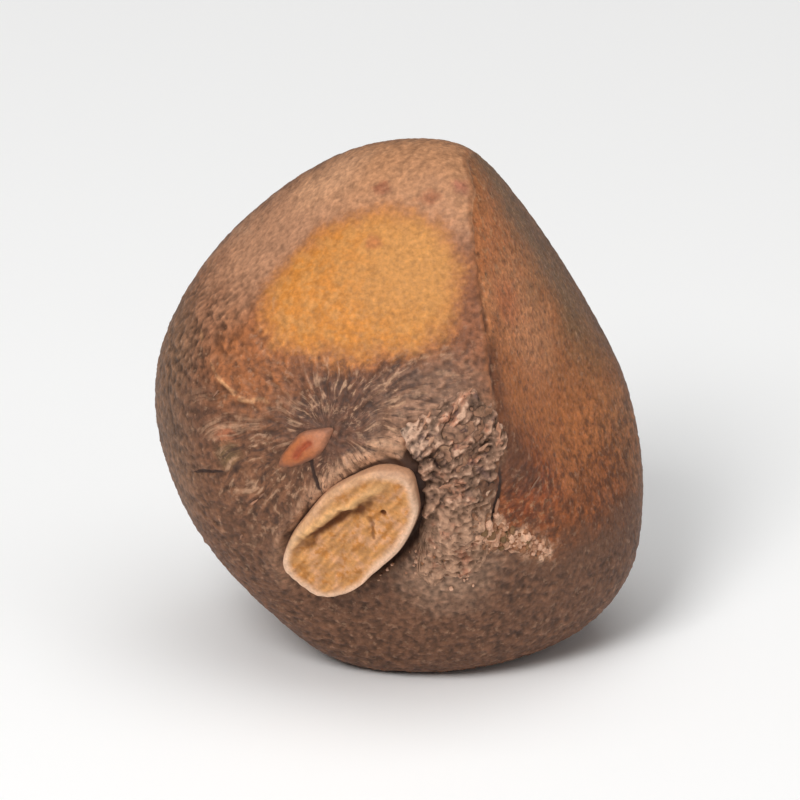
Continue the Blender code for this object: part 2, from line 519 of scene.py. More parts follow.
bent = coat_base + 0.10 * shake(coat_base, 0.7, (11, 12, 13))
coat_crack = nearest_line(bent, CRACKS)
coat_crease = nearest_line(bent, CREASES)
print(len(CRACKS), "cracks and", len(CREASES), "creases")

# %% [markdown]
# A crust of dry crumbs runs from the foot of the cork to the right. It is a line as well, only a
# wide one, and it thins out towards its end.

# %% Distance from the crust
CRUST = ((20, -14.5), (26, -17), (30, -20.5), (35, -22.5), (40.5, -25), (45.6, -27.6))
CRUST_REACH = 0.75


def crust_share(points):
    """1 in the middle of the crust, 0 outside it, with a ragged edge."""
    gap = gap_to_path(points, [seat_on_coat(place) for place in CRUST])
    thinner = 0.45 * np.clip((points[:, 0] - 3) / 4, 0, 1)
    return fade(gap + thinner + 0.5 * grain(points, 0.5, 71) - CRUST_REACH, 0.45)


coat_crust = crust_share(coat_base)
print("crust covers", int((coat_crust > 0.5).sum()), "points")

# %% [markdown]
# ## Wrinkles
#
# As a seed dries its skin shrinks in fine wrinkles, which spread from the nub like hair from a
# crown. To draw hair on a surface, noise is smeared: each point takes the mean of the noise along
# a short line through it, and the line points away from the nub. Where the side flat starts, the
# lines turn, because there the skin was scratched upwards.

# %% Lines away from the nub
RAYS_FROM = (-22, 11.5)
RAY_BEND = 0.45
SCRATCHES_AT, SCRATCHES_REACH, SCRATCHES_TURN = (38, -6), 2.6, 55


def away_from_nub(points, normals):
    """Unit lines on the skin that lead away from the nub, a little bent."""
    rise = points - seat_on_coat(RAYS_FROM) + RAY_BEND * shake(points, 1.5, (41, 42, 43))
    level = rise - normals * (rise * normals).sum(axis=1, keepdims=True)
    level /= np.linalg.norm(level, axis=1, keepdims=True)
    turned = fade(away_from(points, SCRATCHES_AT) - SCRATCHES_REACH, 3.0) * math.radians(SCRATCHES_TURN)
    return level * np.cos(turned)[:, None] + np.cross(normals, level) * np.sin(turned)[:, None]


def smeared(points, lines, size, length, seed, samples=7):
    """Noise with lumps of this size, drawn out to this length along the lines."""
    steps = np.linspace(-length / 2, length / 2, samples)
    return even_out(sum(grain(points + step * lines, size, seed) for step in steps))


coat_lines = away_from_nub(coat_base, coat_ways)
hair = even_out(
    0.7 * smeared(coat_base, coat_lines, 0.27, 1.5, 4)
    + 0.6 * smeared(coat_base, coat_lines, 0.18, 0.8, 9)
)
print("hair from", round(float(hair.min()), 1), "to", round(float(hair.max()), 1))

# %% [markdown]
# The finest strands are too thin for the mesh and are left to the material, which draws them from
# noise as well. It needs numbers that change fast from one strand to the next and slowly along
# them. The direction from the nub, stretched, does the first, and the distance from it the second.

# %% Numbers for the finest strands
STRAND_FRAY = 0.30
STRANDS_ROUND, STRAND_LENGTH = 13.0, 0.8

from_nub = coat_base - seat_on_coat(RAYS_FROM) + STRAND_FRAY * shake(coat_base, 1.1, (44, 45, 46))
away = np.linalg.norm(from_nub, axis=1, keepdims=True)
coat_strands = from_nub / away * STRANDS_ROUND + np.array([0, 0, 1]) * away / STRAND_LENGTH
print("strands reach", round(float(away.max()), 1), "mm from the nub")

# %% [markdown]
# The rest of the skin is like old leather: short wrinkles, a grain and a net of fine folds, which
# is coarser at the left edge. Folding noise at zero, so that its sign is lost, gives the net.

# %% Leather
def folded(points, size, seed):
    """Noise folded into a net of crests about this many millimetres apart."""
    return even_out(-np.abs(grain(points, size, seed)))


leather = even_out(
    0.30 * folded(coat_base, 0.36, 22)
    + 0.55 * smeared(coat_base, coat_lines, 0.26, 0.8, 24)
    + 0.70 * even_out(grain(coat_base, 0.20, 23))
)
leather *= 1 + 0.4 * grain(coat_base, 1.5, 27)
crinkles = folded(coat_base, 0.50, 25) + 0.6 * folded(coat_base, 0.28, 26)
crinkles = np.clip(crinkles, -1.0, None)
print("leather from", round(float(leather.min()), 1), "to", round(float(leather.max()), 1))

# %% [markdown]
# ## Fine relief
#
# The wrinkles are deep round the nub and almost smooth on the golden patch. Over them lies a
# scatter of shallow pits. Along the ridge the skin is pinched up into a narrow lip, with a furrow
# beside it on the side flat. On the upper left of the scar the torn skin stands up as a collar, and
# on the lower right a deep gap parts it from the scar. All of this moves real points of the mesh,
# so it shows at the outline as well.

# %% Where the skin is wrinkled
HAIR_START, HAIR_END = 1.0, 6.0
BLOTCH_AT, BLOTCH_REACH = (-49.6, 27.2), 2.7
CRINKLED_AT, CRINKLED_REACH = (-72, 24), 2.4


def hair_share(points):
    """How much of the hair-like wrinkling shows, from 0 to 1."""
    away = away_from(points, RAYS_FROM)
    round_nub = fade(HAIR_START - away, 0.8) * fade(away - HAIR_END, 2.0)
    scratched = 0.5 * fade(away_from(points, SCRATCHES_AT) - SCRATCHES_REACH, 2.6)
    behind = 0.45 * fade(1.0 - points[:, 1], 3.0)
    share = np.maximum(np.maximum(round_nub, scratched), behind)
    share *= 1 - 0.8 * fade(away_from(points, BLOTCH_AT) - BLOTCH_REACH, 1.0)
    return share * fade(-coat_patch + 0.1, 0.7)


def leather_share(points):
    """How much of the leather shows: least on the patch, less on the side and the upper part."""
    share = 1 - 0.60 * fade(5.5 - points[:, 2], 3.0)
    lower_side = fade(coat_ridge, 0.3) * fade(points[:, 2] - 5.0, 4.0)
    share *= (1 - 0.70 * lower_side) * (1 - 0.25 * fade(coat_ridge, 0.3))
    return share * (0.30 + 0.70 * fade(-coat_patch, 0.7))


coat_crinkled = fade(away_from(coat_base, CRINKLED_AT) - CRINKLED_REACH, 2.0)
coat_hair = hair_share(coat_base)
coat_leather = leather_share(coat_base) * (1 - 0.55 * coat_hair)
print("wrinkled", round(float(coat_hair.mean()), 2), "leathery", round(float(coat_leather.mean()), 2))

# %% [markdown]
# Each form below is a height in millimetres times a share that says where it shows. The sum is
# added to the skin along the direction from the core.

# %% Pits, lip, furrow, collar and gap
HAIR_HEIGHT = 0.036
LEATHER_HEIGHT = 0.017
CRINKLE_HEIGHT = 0.028
PIT_EVERY, PIT_REACH, PIT_DEPTH = 1.3, 0.20, 0.025
LIP_HEIGHT, LIP_AT, LIP_WIDTH = 0.10, 0.15, 0.17
FURROW_DEPTH, FURROW_AT, FURROW_WIDTH = 0.15, -0.18, 0.15
CRACK_DEPTH, CREASE_HEIGHT, CRUST_HEIGHT = 0.12, 0.05, 0.12
COLLAR_HEIGHT, COLLAR_AT, COLLAR_WIDTH = 0.07, 0.26, 0.16
FLANGE_HEIGHT, FLANGE_WIDTH = 0.26, 0.50
GAP_DEPTH, GAP_AT, GAP_WIDTH = 0.40, 0.16, 0.18


def pits(points):
    """Shallow round pits, one in each cell of a random net, from 0 to -1."""
    nearest = np.array([noise.voronoi(place)[0][0] for place in (points / PIT_EVERY).tolist()])
    return -np.clip(1 - nearest * PIT_EVERY / PIT_REACH, 0, 1) ** 0.5


def bump_at(distance, middle, width):
    """1 where the distance is at its middle, 0 some widths to either side."""
    return np.exp(-((distance - middle) / width) ** 2)


def pinched_share(points):
    """1 along the ridge from the top to the cork, 0 where the side flat ends at the foot and behind."""
    x, y, z = points.T
    return fade(x - 4.6, 0.6) * fade(y - 1.6, 1.0) * fade(3.4 - z, 1.0)


def furrow_share(points):
    """How open the furrow beside the ridge is: broken into dashes, and faint towards the top."""
    dashes = np.clip(0.75 + 1.1 * grain(points, 0.9, 15), 0, 1)
    return pinched_share(points) * dashes * (1 - 0.7 * fade(7.0 - points[:, 2], 2.0))


def collar_share(points):
    """1 on the upper left of the scar, where the torn skin stands up, 0 on its lower right."""
    x, y, _ = seen_on(points, SCAR_AT, SCAR_FACES, SCAR_LEAN)
    upper_left = fade(-0.35 - y - 0.10 * x, 1.2)
    return upper_left * fade(points[:, 0], 0.5)


coat_pinched = pinched_share(coat_base)
coat_furrow = furrow_share(coat_base)
coat_collar = collar_share(coat_base)
wavy = 0.7 + 0.9 * grain(coat_base, 0.8, 9)
coat_fine = HAIR_HEIGHT * coat_hair * np.tanh(0.9 * hair)
coat_fine += LEATHER_HEIGHT * coat_leather * leather
coat_fine += PIT_DEPTH * pits(coat_base) * coat_leather
coat_fine += CRINKLE_HEIGHT * coat_crinkled * crinkles
coat_fine += LIP_HEIGHT * coat_pinched * wavy * bump_at(coat_ridge, LIP_AT, LIP_WIDTH)
coat_fine -= FURROW_DEPTH * coat_furrow * bump_at(coat_ridge, FURROW_AT, FURROW_WIDTH)
coat_fine -= CRACK_DEPTH * bump_at(coat_crack, 0, 0.9)
coat_fine += CREASE_HEIGHT * wavy * bump_at(coat_crease, 0, 1.0)
coat_fine += COLLAR_HEIGHT * coat_collar * wavy * bump_at(coat_pad, COLLAR_AT, COLLAR_WIDTH)
coat_fine += FLANGE_HEIGHT * coat_collar * bump_at(coat_pad, COLLAR_AT, FLANGE_WIDTH)
coat_fine -= GAP_DEPTH * (1 - coat_collar) * bump_at(coat_pad, GAP_AT, GAP_WIDTH)
crumbly = 0.4 + np.abs(grain(coat_base, 0.3, 72)) + 0.5 * grain(coat_base, 0.14, 73)
coat_fine += CRUST_HEIGHT * coat_crust * crumbly
print("fine relief from", round(float(coat_fine.min()), 2), "to", round(float(coat_fine.max()), 2), "mm")

# %% [markdown]
# The relief also sets the tone, darker in the furrows and paler on the crests: one number
# from 0, dark, to 1, pale. The material reads it and needs no second set of wrinkles.

# %% Tone of the skin
patchy = 1 + 0.8 * grain(coat_base, 1.2, 31)
coat_tone = 0.5 + 0.12 * coat_hair * hair * patchy + 0.16 * coat_leather * leather
coat_tone += 0.19 * coat_crinkled * (crinkles - 0.2)
coat_tone = np.clip(coat_tone, 0, 1)
print("tone spread", round(float(coat_tone.std()), 2))

# %% [markdown]
# ## A material in small steps
#
# Blender draws a material as a graph of nodes. Built in code, such a graph is easier to read as
# a recipe: mix this colour over that one, where this measure is small. The class below keeps
# the graph and gives one short call for each step of a recipe.

# %% Recipe for a finish
def screen(red, green, blue):
    """A colour as it looks on a screen, 0 to 255, turned into the linear values that light adds in."""
    values = np.array([red, green, blue]) / 255
    return (*np.where(values < 0.04045, values / 12.92, ((values + 0.055) / 1.055) ** 2.4), 1)


class Finish:
    """A material whose node graph is built by calls; each call returns the output of its node."""

    def __init__(self, name, specular=0.5, sheen=0.0):
        self.material = bpy.data.materials.new(name)
        self.material.use_nodes = True
        self.tree = self.material.node_tree
        self.shader = self.tree.nodes["Principled BSDF"]
        self.shader.inputs["Specular IOR Level"].default_value = specular
        self.shader.inputs["Sheen Weight"].default_value = sheen
        coords = self.node("TexCoord", outlet="Object")
        self.place = self.node(
            "VectorMath", coords, (1 / MM,) * 3, tuple(-CORE), operation="MULTIPLY_ADD"
        )
        self.x, self.y, self.z = self.node("SeparateXYZ", self.place, outlet=None)

    def node(self, kind, *values, outlet=0, **settings):
        """Adds a node with these inputs and gives back one of its outlets, or all of them."""
        made = self.tree.nodes.new("ShaderNode" + kind)
        for key, value in settings.items():
            setattr(made, key, value)
        for socket, value in zip([s for s in made.inputs if s.enabled], values):
            self.plug(socket, value)
        return made.outputs if outlet is None else made.outputs[outlet]

    def plug(self, socket, value):
        """Joins another node's outlet to a socket, or writes a plain value into it."""
        if isinstance(value, bpy.types.NodeSocket):
            self.tree.links.new(value, socket)
        elif value is not None:
            socket.default_value = value

    def measure(self, name):
        """A number stored on the mesh."""
        return self.node("Attribute", outlet="Fac", attribute_name=name)

    def math(self, operation, first, second=None):
        return self.node("Math", first, second, operation=operation)

    def grain(self, size, detail=3.0, shift=0.0, where=None):
        """Noise from 0 to 1 with lumps about this many millimetres across."""
        moved = self.node("VectorMath", where or self.place, (shift,) * 3, operation="ADD")
        made = self.tree.nodes.new("ShaderNodeTexNoise")
        self.plug(made.inputs["Vector"], moved)
        made.inputs["Scale"].default_value = 1 / size
        made.inputs["Detail"].default_value = detail
        made.inputs["Roughness"].default_value = 0.6
        return made.outputs[0]

    def cells(self, size):
        """Distance from the nearest of many scattered points, in cell widths."""
        made = self.tree.nodes.new("ShaderNodeTexVoronoi")
        self.plug(made.inputs["Vector"], self.place)
        made.inputs["Scale"].default_value = 1 / size
        return made.outputs["Distance"]

    def ramp(self, value, start, end, low=0.0, high=1.0):
        """Low where the value is at its start, high where it is at its end, smooth between."""
        made = self.tree.nodes.new("ShaderNodeMapRange")
        made.interpolation_type = "SMOOTHSTEP"
        settings = {"Value": value, "From Min": start, "From Max": end, "To Min": low, "To Max": high}
        for key, number in settings.items():
            self.plug(made.inputs[key], number)
        return made.outputs[0]

    def frayed(self, value, size, amount, shift=0.0):
        """The value with noise added, so that an edge drawn from it is uneven."""
        rough = self.node("MapRange", self.grain(size, 3.0, shift), 0.0, 1.0, -amount, amount)
        return self.math("ADD", value, rough)

    def near(self, place, reach, size=1.5, amount=1.0, core=0.2):
        """1 at this place on the skin, 0 beyond its reach in millimetres, with an uneven edge."""
        middle = tuple(seat_on_coat(place))
        gap = self.node("VectorMath", self.place, middle, outlet="Value", operation="DISTANCE")
        return self.ramp(self.frayed(gap, size, amount, reach), reach, reach * core)

    def times(self, *shares):
        """The product of two or more shares."""
        product = shares[0]
        for share in shares[1:]:
            product = self.math("MULTIPLY", product, share)
        return product

    def mix(self, share, under, over):
        """The colour over laid on the colour under."""
        made = self.tree.nodes.new("ShaderNodeMix")
        made.data_type = "RGBA"
        for socket, value in {0: share, 6: under, 7: over}.items():
            self.plug(made.inputs[socket], value)
        return made.outputs[2]

    def shade(self, colour, amount):
        """The colour made darker or lighter by this factor."""
        return self.node("VectorMath", colour, amount, operation="SCALE")

    def spotted(self, colour, spots):
        """Lays blurred spots on a colour, each at a place, with its near() settings and a share."""
        for place, reach, size, amount, core, share, spot in spots:
            blur = self.near(place, reach, size, amount, core)
            colour = self.mix(self.times(blur, share), colour, spot)
        return colour

    def finish(self, colour, roughness, height, depth):
        """Joins the colour, roughness and bump, whose height is 1 at this many millimetres."""
        self.plug(self.shader.inputs["Base Color"], colour)
        self.plug(self.shader.inputs["Roughness"], roughness)
        bump = self.tree.nodes.new("ShaderNodeBump")
        bump.inputs["Distance"].default_value = depth * MM
        bump.inputs["Strength"].default_value = 1.0
        self.plug(bump.inputs["Height"], height)
        self.plug(self.shader.inputs["Normal"], bump.outputs[0])
        return self.material

    def powdered(self, colour, fine, tones, roughness, depth):
        """Ends a dry finish: one fine noise shades the colour, varies the roughness and gives the bump."""
        colour = self.shade(colour, self.ramp(fine, 0.25, 0.75, *tones))
        return self.finish(colour, self.ramp(fine, 0.2, 0.8, *roughness), fine, depth)


print("screen colour 188 is", round(screen(188, 188, 188)[0], 2), "in linear light")

# %% [markdown]
# ## The colours of the skin
#
# The skin is a quiet brown, darkest at the foot, that turns to a dusty rose and tan at the top.
# The golden patch, where the seed pressed on its neighbour and no air reached it, has an orange
# border that runs out to the lower left. Round the nub the skin is dark between pale wrinkles.

# %% Colours of the front
FOOT_GREY = screen(105, 71, 51)
LOW_BROWN = screen(118, 78, 54)
LEFT_BROWN = screen(131, 88, 63)
DUSTY_ROSE = screen(173, 125, 94)
TOP_TAN = screen(177, 126, 89)
TOP_PALE = screen(190, 141, 106)
STRIP_TAN = screen(128, 79, 52)
EDGE_GREY = screen(114, 83, 62)
UMBER = screen(92, 60, 44)
WEAVE_GREY = screen(138, 102, 80)
RUST = screen(146, 86, 46)
CORK_DUST = screen(150, 118, 96)

# Each spot: place, reach in millimetres, size and amount of its fraying, core, share, colour
FRONT_SPOTS = (
    ((-56, 12), 3.6, 1.2, 0.8, 0.2, 0.6, UMBER),
    ((9, 16), 3.8, 0.8, 1.2, 0.3, 0.9, WEAVE_GREY),
    ((13, -30), 3.4, 0.6, 1.4, 0.1, 0.85, CORK_DUST),
)


def front_colours(paint):
    """The front of the seed from foot to top, without the patch."""
    height = paint.frayed(paint.z, 1.8, 1.6, 5.0)
    colour = paint.mix(paint.ramp(height, -4.5, 0.5), FOOT_GREY, LOW_BROWN)
    colour = paint.mix(paint.ramp(height, 1.0, 4.5), colour, LEFT_BROWN)
    colour = paint.mix(paint.ramp(height, 4.5, 7.5), colour, DUSTY_ROSE)
    colour = paint.mix(paint.ramp(height, 8.5, 11.0), colour, TOP_TAN)
    colour = paint.mix(paint.near((-104, 72), 2.8, 0.8, 0.8), colour, TOP_PALE)
    strip = paint.times(
        paint.ramp(paint.x, 0.8, 2.2), paint.ramp(paint.z, 10.0, 8.0), paint.ramp(paint.z, 2.5, 4.5)
    )
    colour = paint.mix(strip, colour, STRIP_TAN)
    colour = paint.mix(paint.ramp(paint.x, -8.0, -9.8), colour, EDGE_GREY)
    dark = paint.times(paint.near((-14, 21), 5.4, 1.2, 1.4, 0.4), paint.ramp(paint.z, 6.2, 5.0))
    colour = paint.mix(dark, colour, UMBER)
    return paint.spotted(colour, FRONT_SPOTS)


print("colours of the front ready")

# %% [markdown]
# The patch is deepest gold at its left and paler at its upper right. Its rusty surround fills the
# space between the two creases. Small stains, each a place, a reach and a colour, come last.

# %% Colours of the golden patch and the stains
GOLD = screen(191, 121, 49)
PALE_GOLD = screen(190, 131, 69)
GOLD_RIM = screen(172, 110, 62)
CREASE_PALE = screen(188, 138, 96)
STAIN_BLUR = (0.4, 0.35, 0.2, 0.85)
STAINS = (
    ((-50.5, 6.5), 0.75, screen(156, 95, 66)),
    ((-49.0, 2.5), 0.9, screen(112, 86, 58)),
    ((-32.0, 79.6), 0.55, screen(142, 82, 55)),
    ((22.0, 75.6), 0.6, screen(150, 92, 62)),
    ((49.6, 74.0), 0.6, screen(158, 98, 76)),
    ((-21.5, 67.0), 0.5, screen(176, 108, 60)),
)


def patch_colours(paint, colour):
    """Adds the rusty surround, the golden patch, the creases and the stains to a colour."""
    patch = paint.frayed(paint.measure("patch_gap"), 1.1, 0.8, 2.0)
    patch = paint.frayed(patch, 0.22, 0.35, 6.0)
    low_half = paint.ramp(paint.z, 7.4, 5.4, 0.3, 0.7)
    colour = paint.mix(paint.times(paint.ramp(patch, 0.9, 0.0), low_half), colour, RUST)
    blotch = paint.near(BLOTCH_AT, BLOTCH_REACH + 0.6, 0.9, 1.1, 0.25)
    colour = paint.mix(paint.times(blotch, 0.85), colour, RUST)
    colour = paint.mix(paint.ramp(patch, 0.6, -0.3, 0.0, 0.75), colour, GOLD_RIM)
    pale = paint.ramp(paint.grain(0.5, 5.0, 8.0), 0.42, 0.60)
    gold = paint.mix(paint.near((8, 62), 4.6, 1.0, 1.2), GOLD, PALE_GOLD)
    gold = paint.mix(paint.times(pale, 0.8), gold, PALE_GOLD)
    gold = paint.shade(gold, paint.ramp(paint.grain(0.4, 4.0, 29.0), 0.3, 0.7, 0.92, 1.07))
    colour = paint.mix(paint.ramp(patch, 0.40, -0.90), colour, gold)
    broken = paint.ramp(paint.grain(0.5, 2.0, 9.0), 0.28, 0.52, 0.0, 0.75)
    crease = paint.times(paint.ramp(paint.measure("crease"), 1.5, 0.5), broken)
    colour = paint.mix(crease, colour, CREASE_PALE)
    return paint.spotted(colour, [(place, reach, *STAIN_BLUR, stain) for place, reach, stain in STAINS])


print(len(STAINS), "stains")

# %% [markdown]
# The side flat has a rusty glow down its middle, paler above and red below, an olive-grey edge and
# a strip of painted shade beside the ridge that darkens further next to the cork. The back, which
# the photograph doesn't show, is finished like the backs of other such seeds: a darker, greyer
# brown with patches that are a little warmer.

# %% Colours of the side and the back
SIDE_LOW = screen(124, 68, 32)
SIDE_GLOW = screen(170, 103, 57)
SIDE_UPPER = screen(184, 120, 77)
SIDE_TOP = screen(180, 112, 68)
SIDE_RUST = screen(166, 94, 52)
SIDE_EDGE = screen(122, 88, 58)
SIDE_MOTTLE_AND_SHADE = screen(106, 64, 42)
SIDE_FLECK = screen(178, 138, 100)
BACK_BROWN = screen(98, 72, 57)
BACK_WARM = screen(126, 88, 63)
SIDE_SPOTS = (
    ((38, -8), 3.6, 0.6, 1.6, 0.1, 1.0, screen(128, 62, 28)),
    ((64, 38), 3.4, 1.0, 1.2, 0.2, 0.7, screen(196, 134, 92)),
    ((48, 48), 1.5, 0.6, 0.6, 0.2, 0.6, screen(178, 100, 62)),
    # The last spot is painted shade beside the cork
    ((33, 5), 2.4, 0.8, 1.2, 0.2, 0.6, screen(88, 44, 22)),
)


def side_colours(paint):
    """The side flat from foot to top, with its edge, its strip of painted shade and its flecks."""
    height = paint.frayed(paint.z, 1.2, 1.6, 11.0)
    colour = paint.mix(paint.ramp(height, 0.0, -3.0), SIDE_GLOW, SIDE_LOW)
    colour = paint.mix(paint.ramp(height, 4.0, 6.5), colour, SIDE_UPPER)
    colour = paint.mix(paint.ramp(height, 6.9, 8.2), colour, SIDE_TOP)
    colour = paint.spotted(colour, SIDE_SPOTS)
    rust = paint.ramp(paint.grain(0.6, 4.0, 22.0), 0.48, 0.64, 0.0, 0.38)
    colour = paint.mix(rust, colour, SIDE_RUST)
    depth = paint.frayed(paint.frayed(paint.y, 3.2, 3.0), 0.8, 1.4, 8.0)
    edge = paint.times(paint.ramp(depth, -3.0, 2.4), paint.ramp(height, 0.0, 4.0, 0.45, 1.0))
    colour = paint.mix(edge, colour, SIDE_EDGE)
    dark = paint.ramp(paint.grain(0.36, 4.0, 24.0), 0.48, 0.34, 0.0, 0.55)
    colour = paint.mix(dark, colour, SIDE_MOTTLE_AND_SHADE)
    upper_edge = paint.math("MAXIMUM", edge, paint.ramp(height, 5.0, 8.0))
    flecked = paint.math("MAXIMUM", upper_edge, paint.near((38, -12), 2.8, 0.8, 1.0))
    flecks = paint.times(paint.ramp(paint.grain(0.26, 3.0, 27.0), 0.54, 0.66, 0.0, 0.45), flecked)
    colour = paint.mix(flecks, colour, SIDE_FLECK)
    # A strip of painted shade beside the ridge, from above the foot to the upper part of the side
    beside_ridge = paint.ramp(paint.measure("ridge_gap"), -1.6, -0.35)
    shade = paint.times(beside_ridge, paint.ramp(height, 6.6, 4.4), paint.ramp(height, -2.0, 0.2), 0.85)
    colour = paint.mix(shade, colour, SIDE_MOTTLE_AND_SHADE)
    mottled = paint.shade(colour, paint.ramp(paint.grain(0.45, 4.0, 33.0), 0.38, 0.62, 0.60, 1.40))
    return paint.mix(paint.ramp(height, 1.5, -1.5), colour, mottled)


def back_colours(paint):
    """Two browns in broad patches."""
    return paint.mix(paint.ramp(paint.grain(3.5, 4.0, 20.0), 0.38, 0.62), BACK_BROWN, BACK_WARM)


print("colours of the side and the back ready")

# %% [markdown]
# Last come the things that go over all of it: the lip of the ridge is rubbed pale, its furrow is
# painted in shade, the gap round the scar is painted in shade, and every small furrow is darker
# than the crest beside it. Flecks of pale dust and dark grit, and a grain too fine for the mesh, keep
# even the quiet parts from looking like plastic.

# %% Flecks and grain
PALE_DUST = screen(182, 142, 112)
PALE_STRAND = screen(180, 140, 110)
DARK_GRIT = screen(68, 46, 36)
CRUST_TAN = screen(164, 114, 80)
CRUST_CREAM = screen(226, 180, 148)


def crusted(paint, colour):
    """Adds the crust below the cork, cream crumbs on tan."""
    crust = paint.measure("crust")
    colour = paint.mix(paint.times(crust, 0.85), colour, CRUST_TAN)
    crumbs = paint.ramp(paint.grain(0.42, 4.0, 23.0), 0.46, 0.58)
    colour = paint.mix(paint.times(crumbs, crust), colour, CRUST_CREAM)
    gaps = paint.ramp(paint.grain(0.34, 4.0, 25.0), 0.45, 0.36, 0.0, 0.85)
    return paint.mix(paint.times(gaps, crust), colour, DARK_GRIT)


def weathered(paint, colour):
    """Adds tone, dust, grit and grain to a colour; the patch gets least of it."""
    worn = paint.measure("worn")
    colour = paint.shade(colour, paint.ramp(paint.measure("tone"), 0.0, 1.0, 0.42, 1.58))
    strands = paint.node("Attribute", outlet="Vector", attribute_name="strands")
    strand = paint.grain(1.0, 3.0, 2.0, strands)
    hair = paint.measure("hair")
    colour = paint.mix(paint.times(paint.ramp(strand, 0.52, 0.68, 0.0, 0.80), hair), colour, PALE_STRAND)
    colour = paint.mix(paint.times(paint.ramp(strand, 0.48, 0.33, 0.0, 0.80), hair), colour, DARK_GRIT)
    dust = paint.ramp(paint.grain(0.34, 3.0, 14.0), 0.56, 0.72)
    colour = paint.mix(paint.times(dust, worn, 0.36), colour, PALE_DUST)
    grit = paint.ramp(paint.grain(0.26, 3.0, 17.0), 0.43, 0.31)
    colour = paint.mix(paint.times(grit, worn, 0.40), colour, DARK_GRIT)
    spread = paint.ramp(worn, 0.0, 1.0, 0.26, 0.36)
    fine = paint.node("MapRange", paint.grain(0.20, 3.0, 19.0), 0.25, 0.75, -1.0, 1.0)
    return paint.shade(colour, paint.math("ADD", paint.times(fine, spread), 1.0))


print("dust and grit ready")

# %% [markdown]
# The recipes are now laid over one another, the first three in the order in which a real seed gets
# them: the colours of its faces, then its rubbed edges, then crust and dust. Painted shade in the
# gap round the scar and a dark line in each crack come last.

# %% The whole skin
LIP_ROSE = screen(142, 90, 58)
FURROW_SHADE = screen(84, 52, 37)
COLLAR_ROSE = screen(184, 139, 108)
TRENCH_SHADE_AND_CRACK_DARK = screen(58, 38, 29)


def whole_seed_colours(paint):
    """The front with its patch, the back and the side flat, each faded into the next."""
    ridge = paint.measure("ridge_gap")
    colour = patch_colours(paint, front_colours(paint))
    behind = paint.ramp(paint.frayed(paint.y, 3.0, 2.0), 0.0, 4.5)
    colour = paint.mix(behind, colour, back_colours(paint))
    before_back = paint.ramp(paint.frayed(paint.y, 2.5, 3.0), 6.0, 1.5)
    above_foot = paint.ramp(paint.frayed(paint.z, 1.0, 1.6, 3.0), -5.2, -2.8)
    side = paint.times(paint.ramp(ridge, 0.02, -0.12), before_back, above_foot)
    return paint.mix(side, colour, side_colours(paint))


def edge_colours(paint, colour):
    """Adds the lip of the ridge, painted shade in its furrow and the collar of the scar."""
    ridge = paint.measure("ridge_gap")
    lip = paint.times(paint.ramp(ridge, 0.42, 0.20), paint.ramp(ridge, -0.04, 0.08))
    colour = paint.mix(paint.times(lip, paint.measure("pinched"), 0.5), colour, LIP_ROSE)
    # Painted shade in the furrow beside the ridge
    furrow = paint.times(paint.ramp(ridge, -0.42, -0.22), paint.ramp(ridge, 0.03, -0.08))
    colour = paint.mix(paint.times(furrow, paint.measure("furrow"), 0.85), colour, FURROW_SHADE)
    beside_scar = paint.ramp(paint.frayed(paint.measure("pad_gap"), 0.5, 0.40), 0.75, 0.30)
    rightward = paint.ramp(paint.x, -4.7, -3.2, 0.25, 0.85)
    collar = paint.times(beside_scar, paint.measure("collar"), rightward)
    return paint.mix(collar, colour, COLLAR_ROSE)


def skin_finish():
    paint = Finish("seed_skin", specular=0.28)
    colour = edge_colours(paint, whole_seed_colours(paint))
    colour = weathered(paint, crusted(paint, colour))
    # Painted shade in the gap round the scar, wide on its lower right and narrow under the collar; then a
    # dark line along each crack
    narrowed = paint.node("MapRange", paint.measure("collar"), 0.0, 1.0, -0.12, 0.28)
    trench = paint.ramp(paint.math("ADD", paint.measure("pad_gap"), narrowed), 0.30, 0.18)
    colour = paint.mix(paint.times(trench, 0.9), colour, TRENCH_SHADE_AND_CRACK_DARK)
    colour = paint.mix(paint.ramp(paint.measure("crack"), 1.4, 0.7), colour, TRENCH_SHADE_AND_CRACK_DARK)
    fine = paint.grain(0.14, 4.0, 14.0)
    roughness = paint.ramp(fine, 0.25, 0.75, 0.50, 0.74)
    pebble = paint.math("ADD", paint.cells(0.20), paint.grain(0.11, 4.0))
    return paint.finish(colour, roughness, pebble, 0.012)


skin = skin_finish()
print(len(skin.node_tree.nodes), "nodes in the skin")

# %% [markdown]
# ## Put the skin on the seed
#
# The points are written in one go, the measures are stored beside them, and the piece is told
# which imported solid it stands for.

# %% Write the points and show the coat
def write_points(mesh, points):
    """Puts points given in millimetres from the core into the mesh."""
    mesh.vertices.foreach_set("co", ((points + CORE) * MM).ravel())
    mesh.update()


def store(mesh, **measures):
    """Keeps numbers, or sets of three numbers, at the points of a mesh."""
    for name, values in measures.items():
        kind, field = ("FLOAT_VECTOR", "vector") if values.ndim == 2 else ("FLOAT", "value")
        mesh.attributes.new(name, kind, "POINT").data.foreach_set(field, values.ravel())


def show(name, mesh, finish):
    """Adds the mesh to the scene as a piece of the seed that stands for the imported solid."""
    mesh.name = name
    piece = bpy.data.objects.new(name, mesh)
    bpy.context.scene.collection.objects.link(piece)
    mesh.materials.clear()
    mesh.materials.append(finish)
    mesh.shade_smooth()
    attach(piece, "root")
    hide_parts("seed")
    print(name, "shown with", len(mesh.polygons), "faces")


def rested(points):
    """The points, none of them lower than what the seed rests on."""
    points[:, 2] = np.maximum(points[:, 2], -CORE[2])
    return points


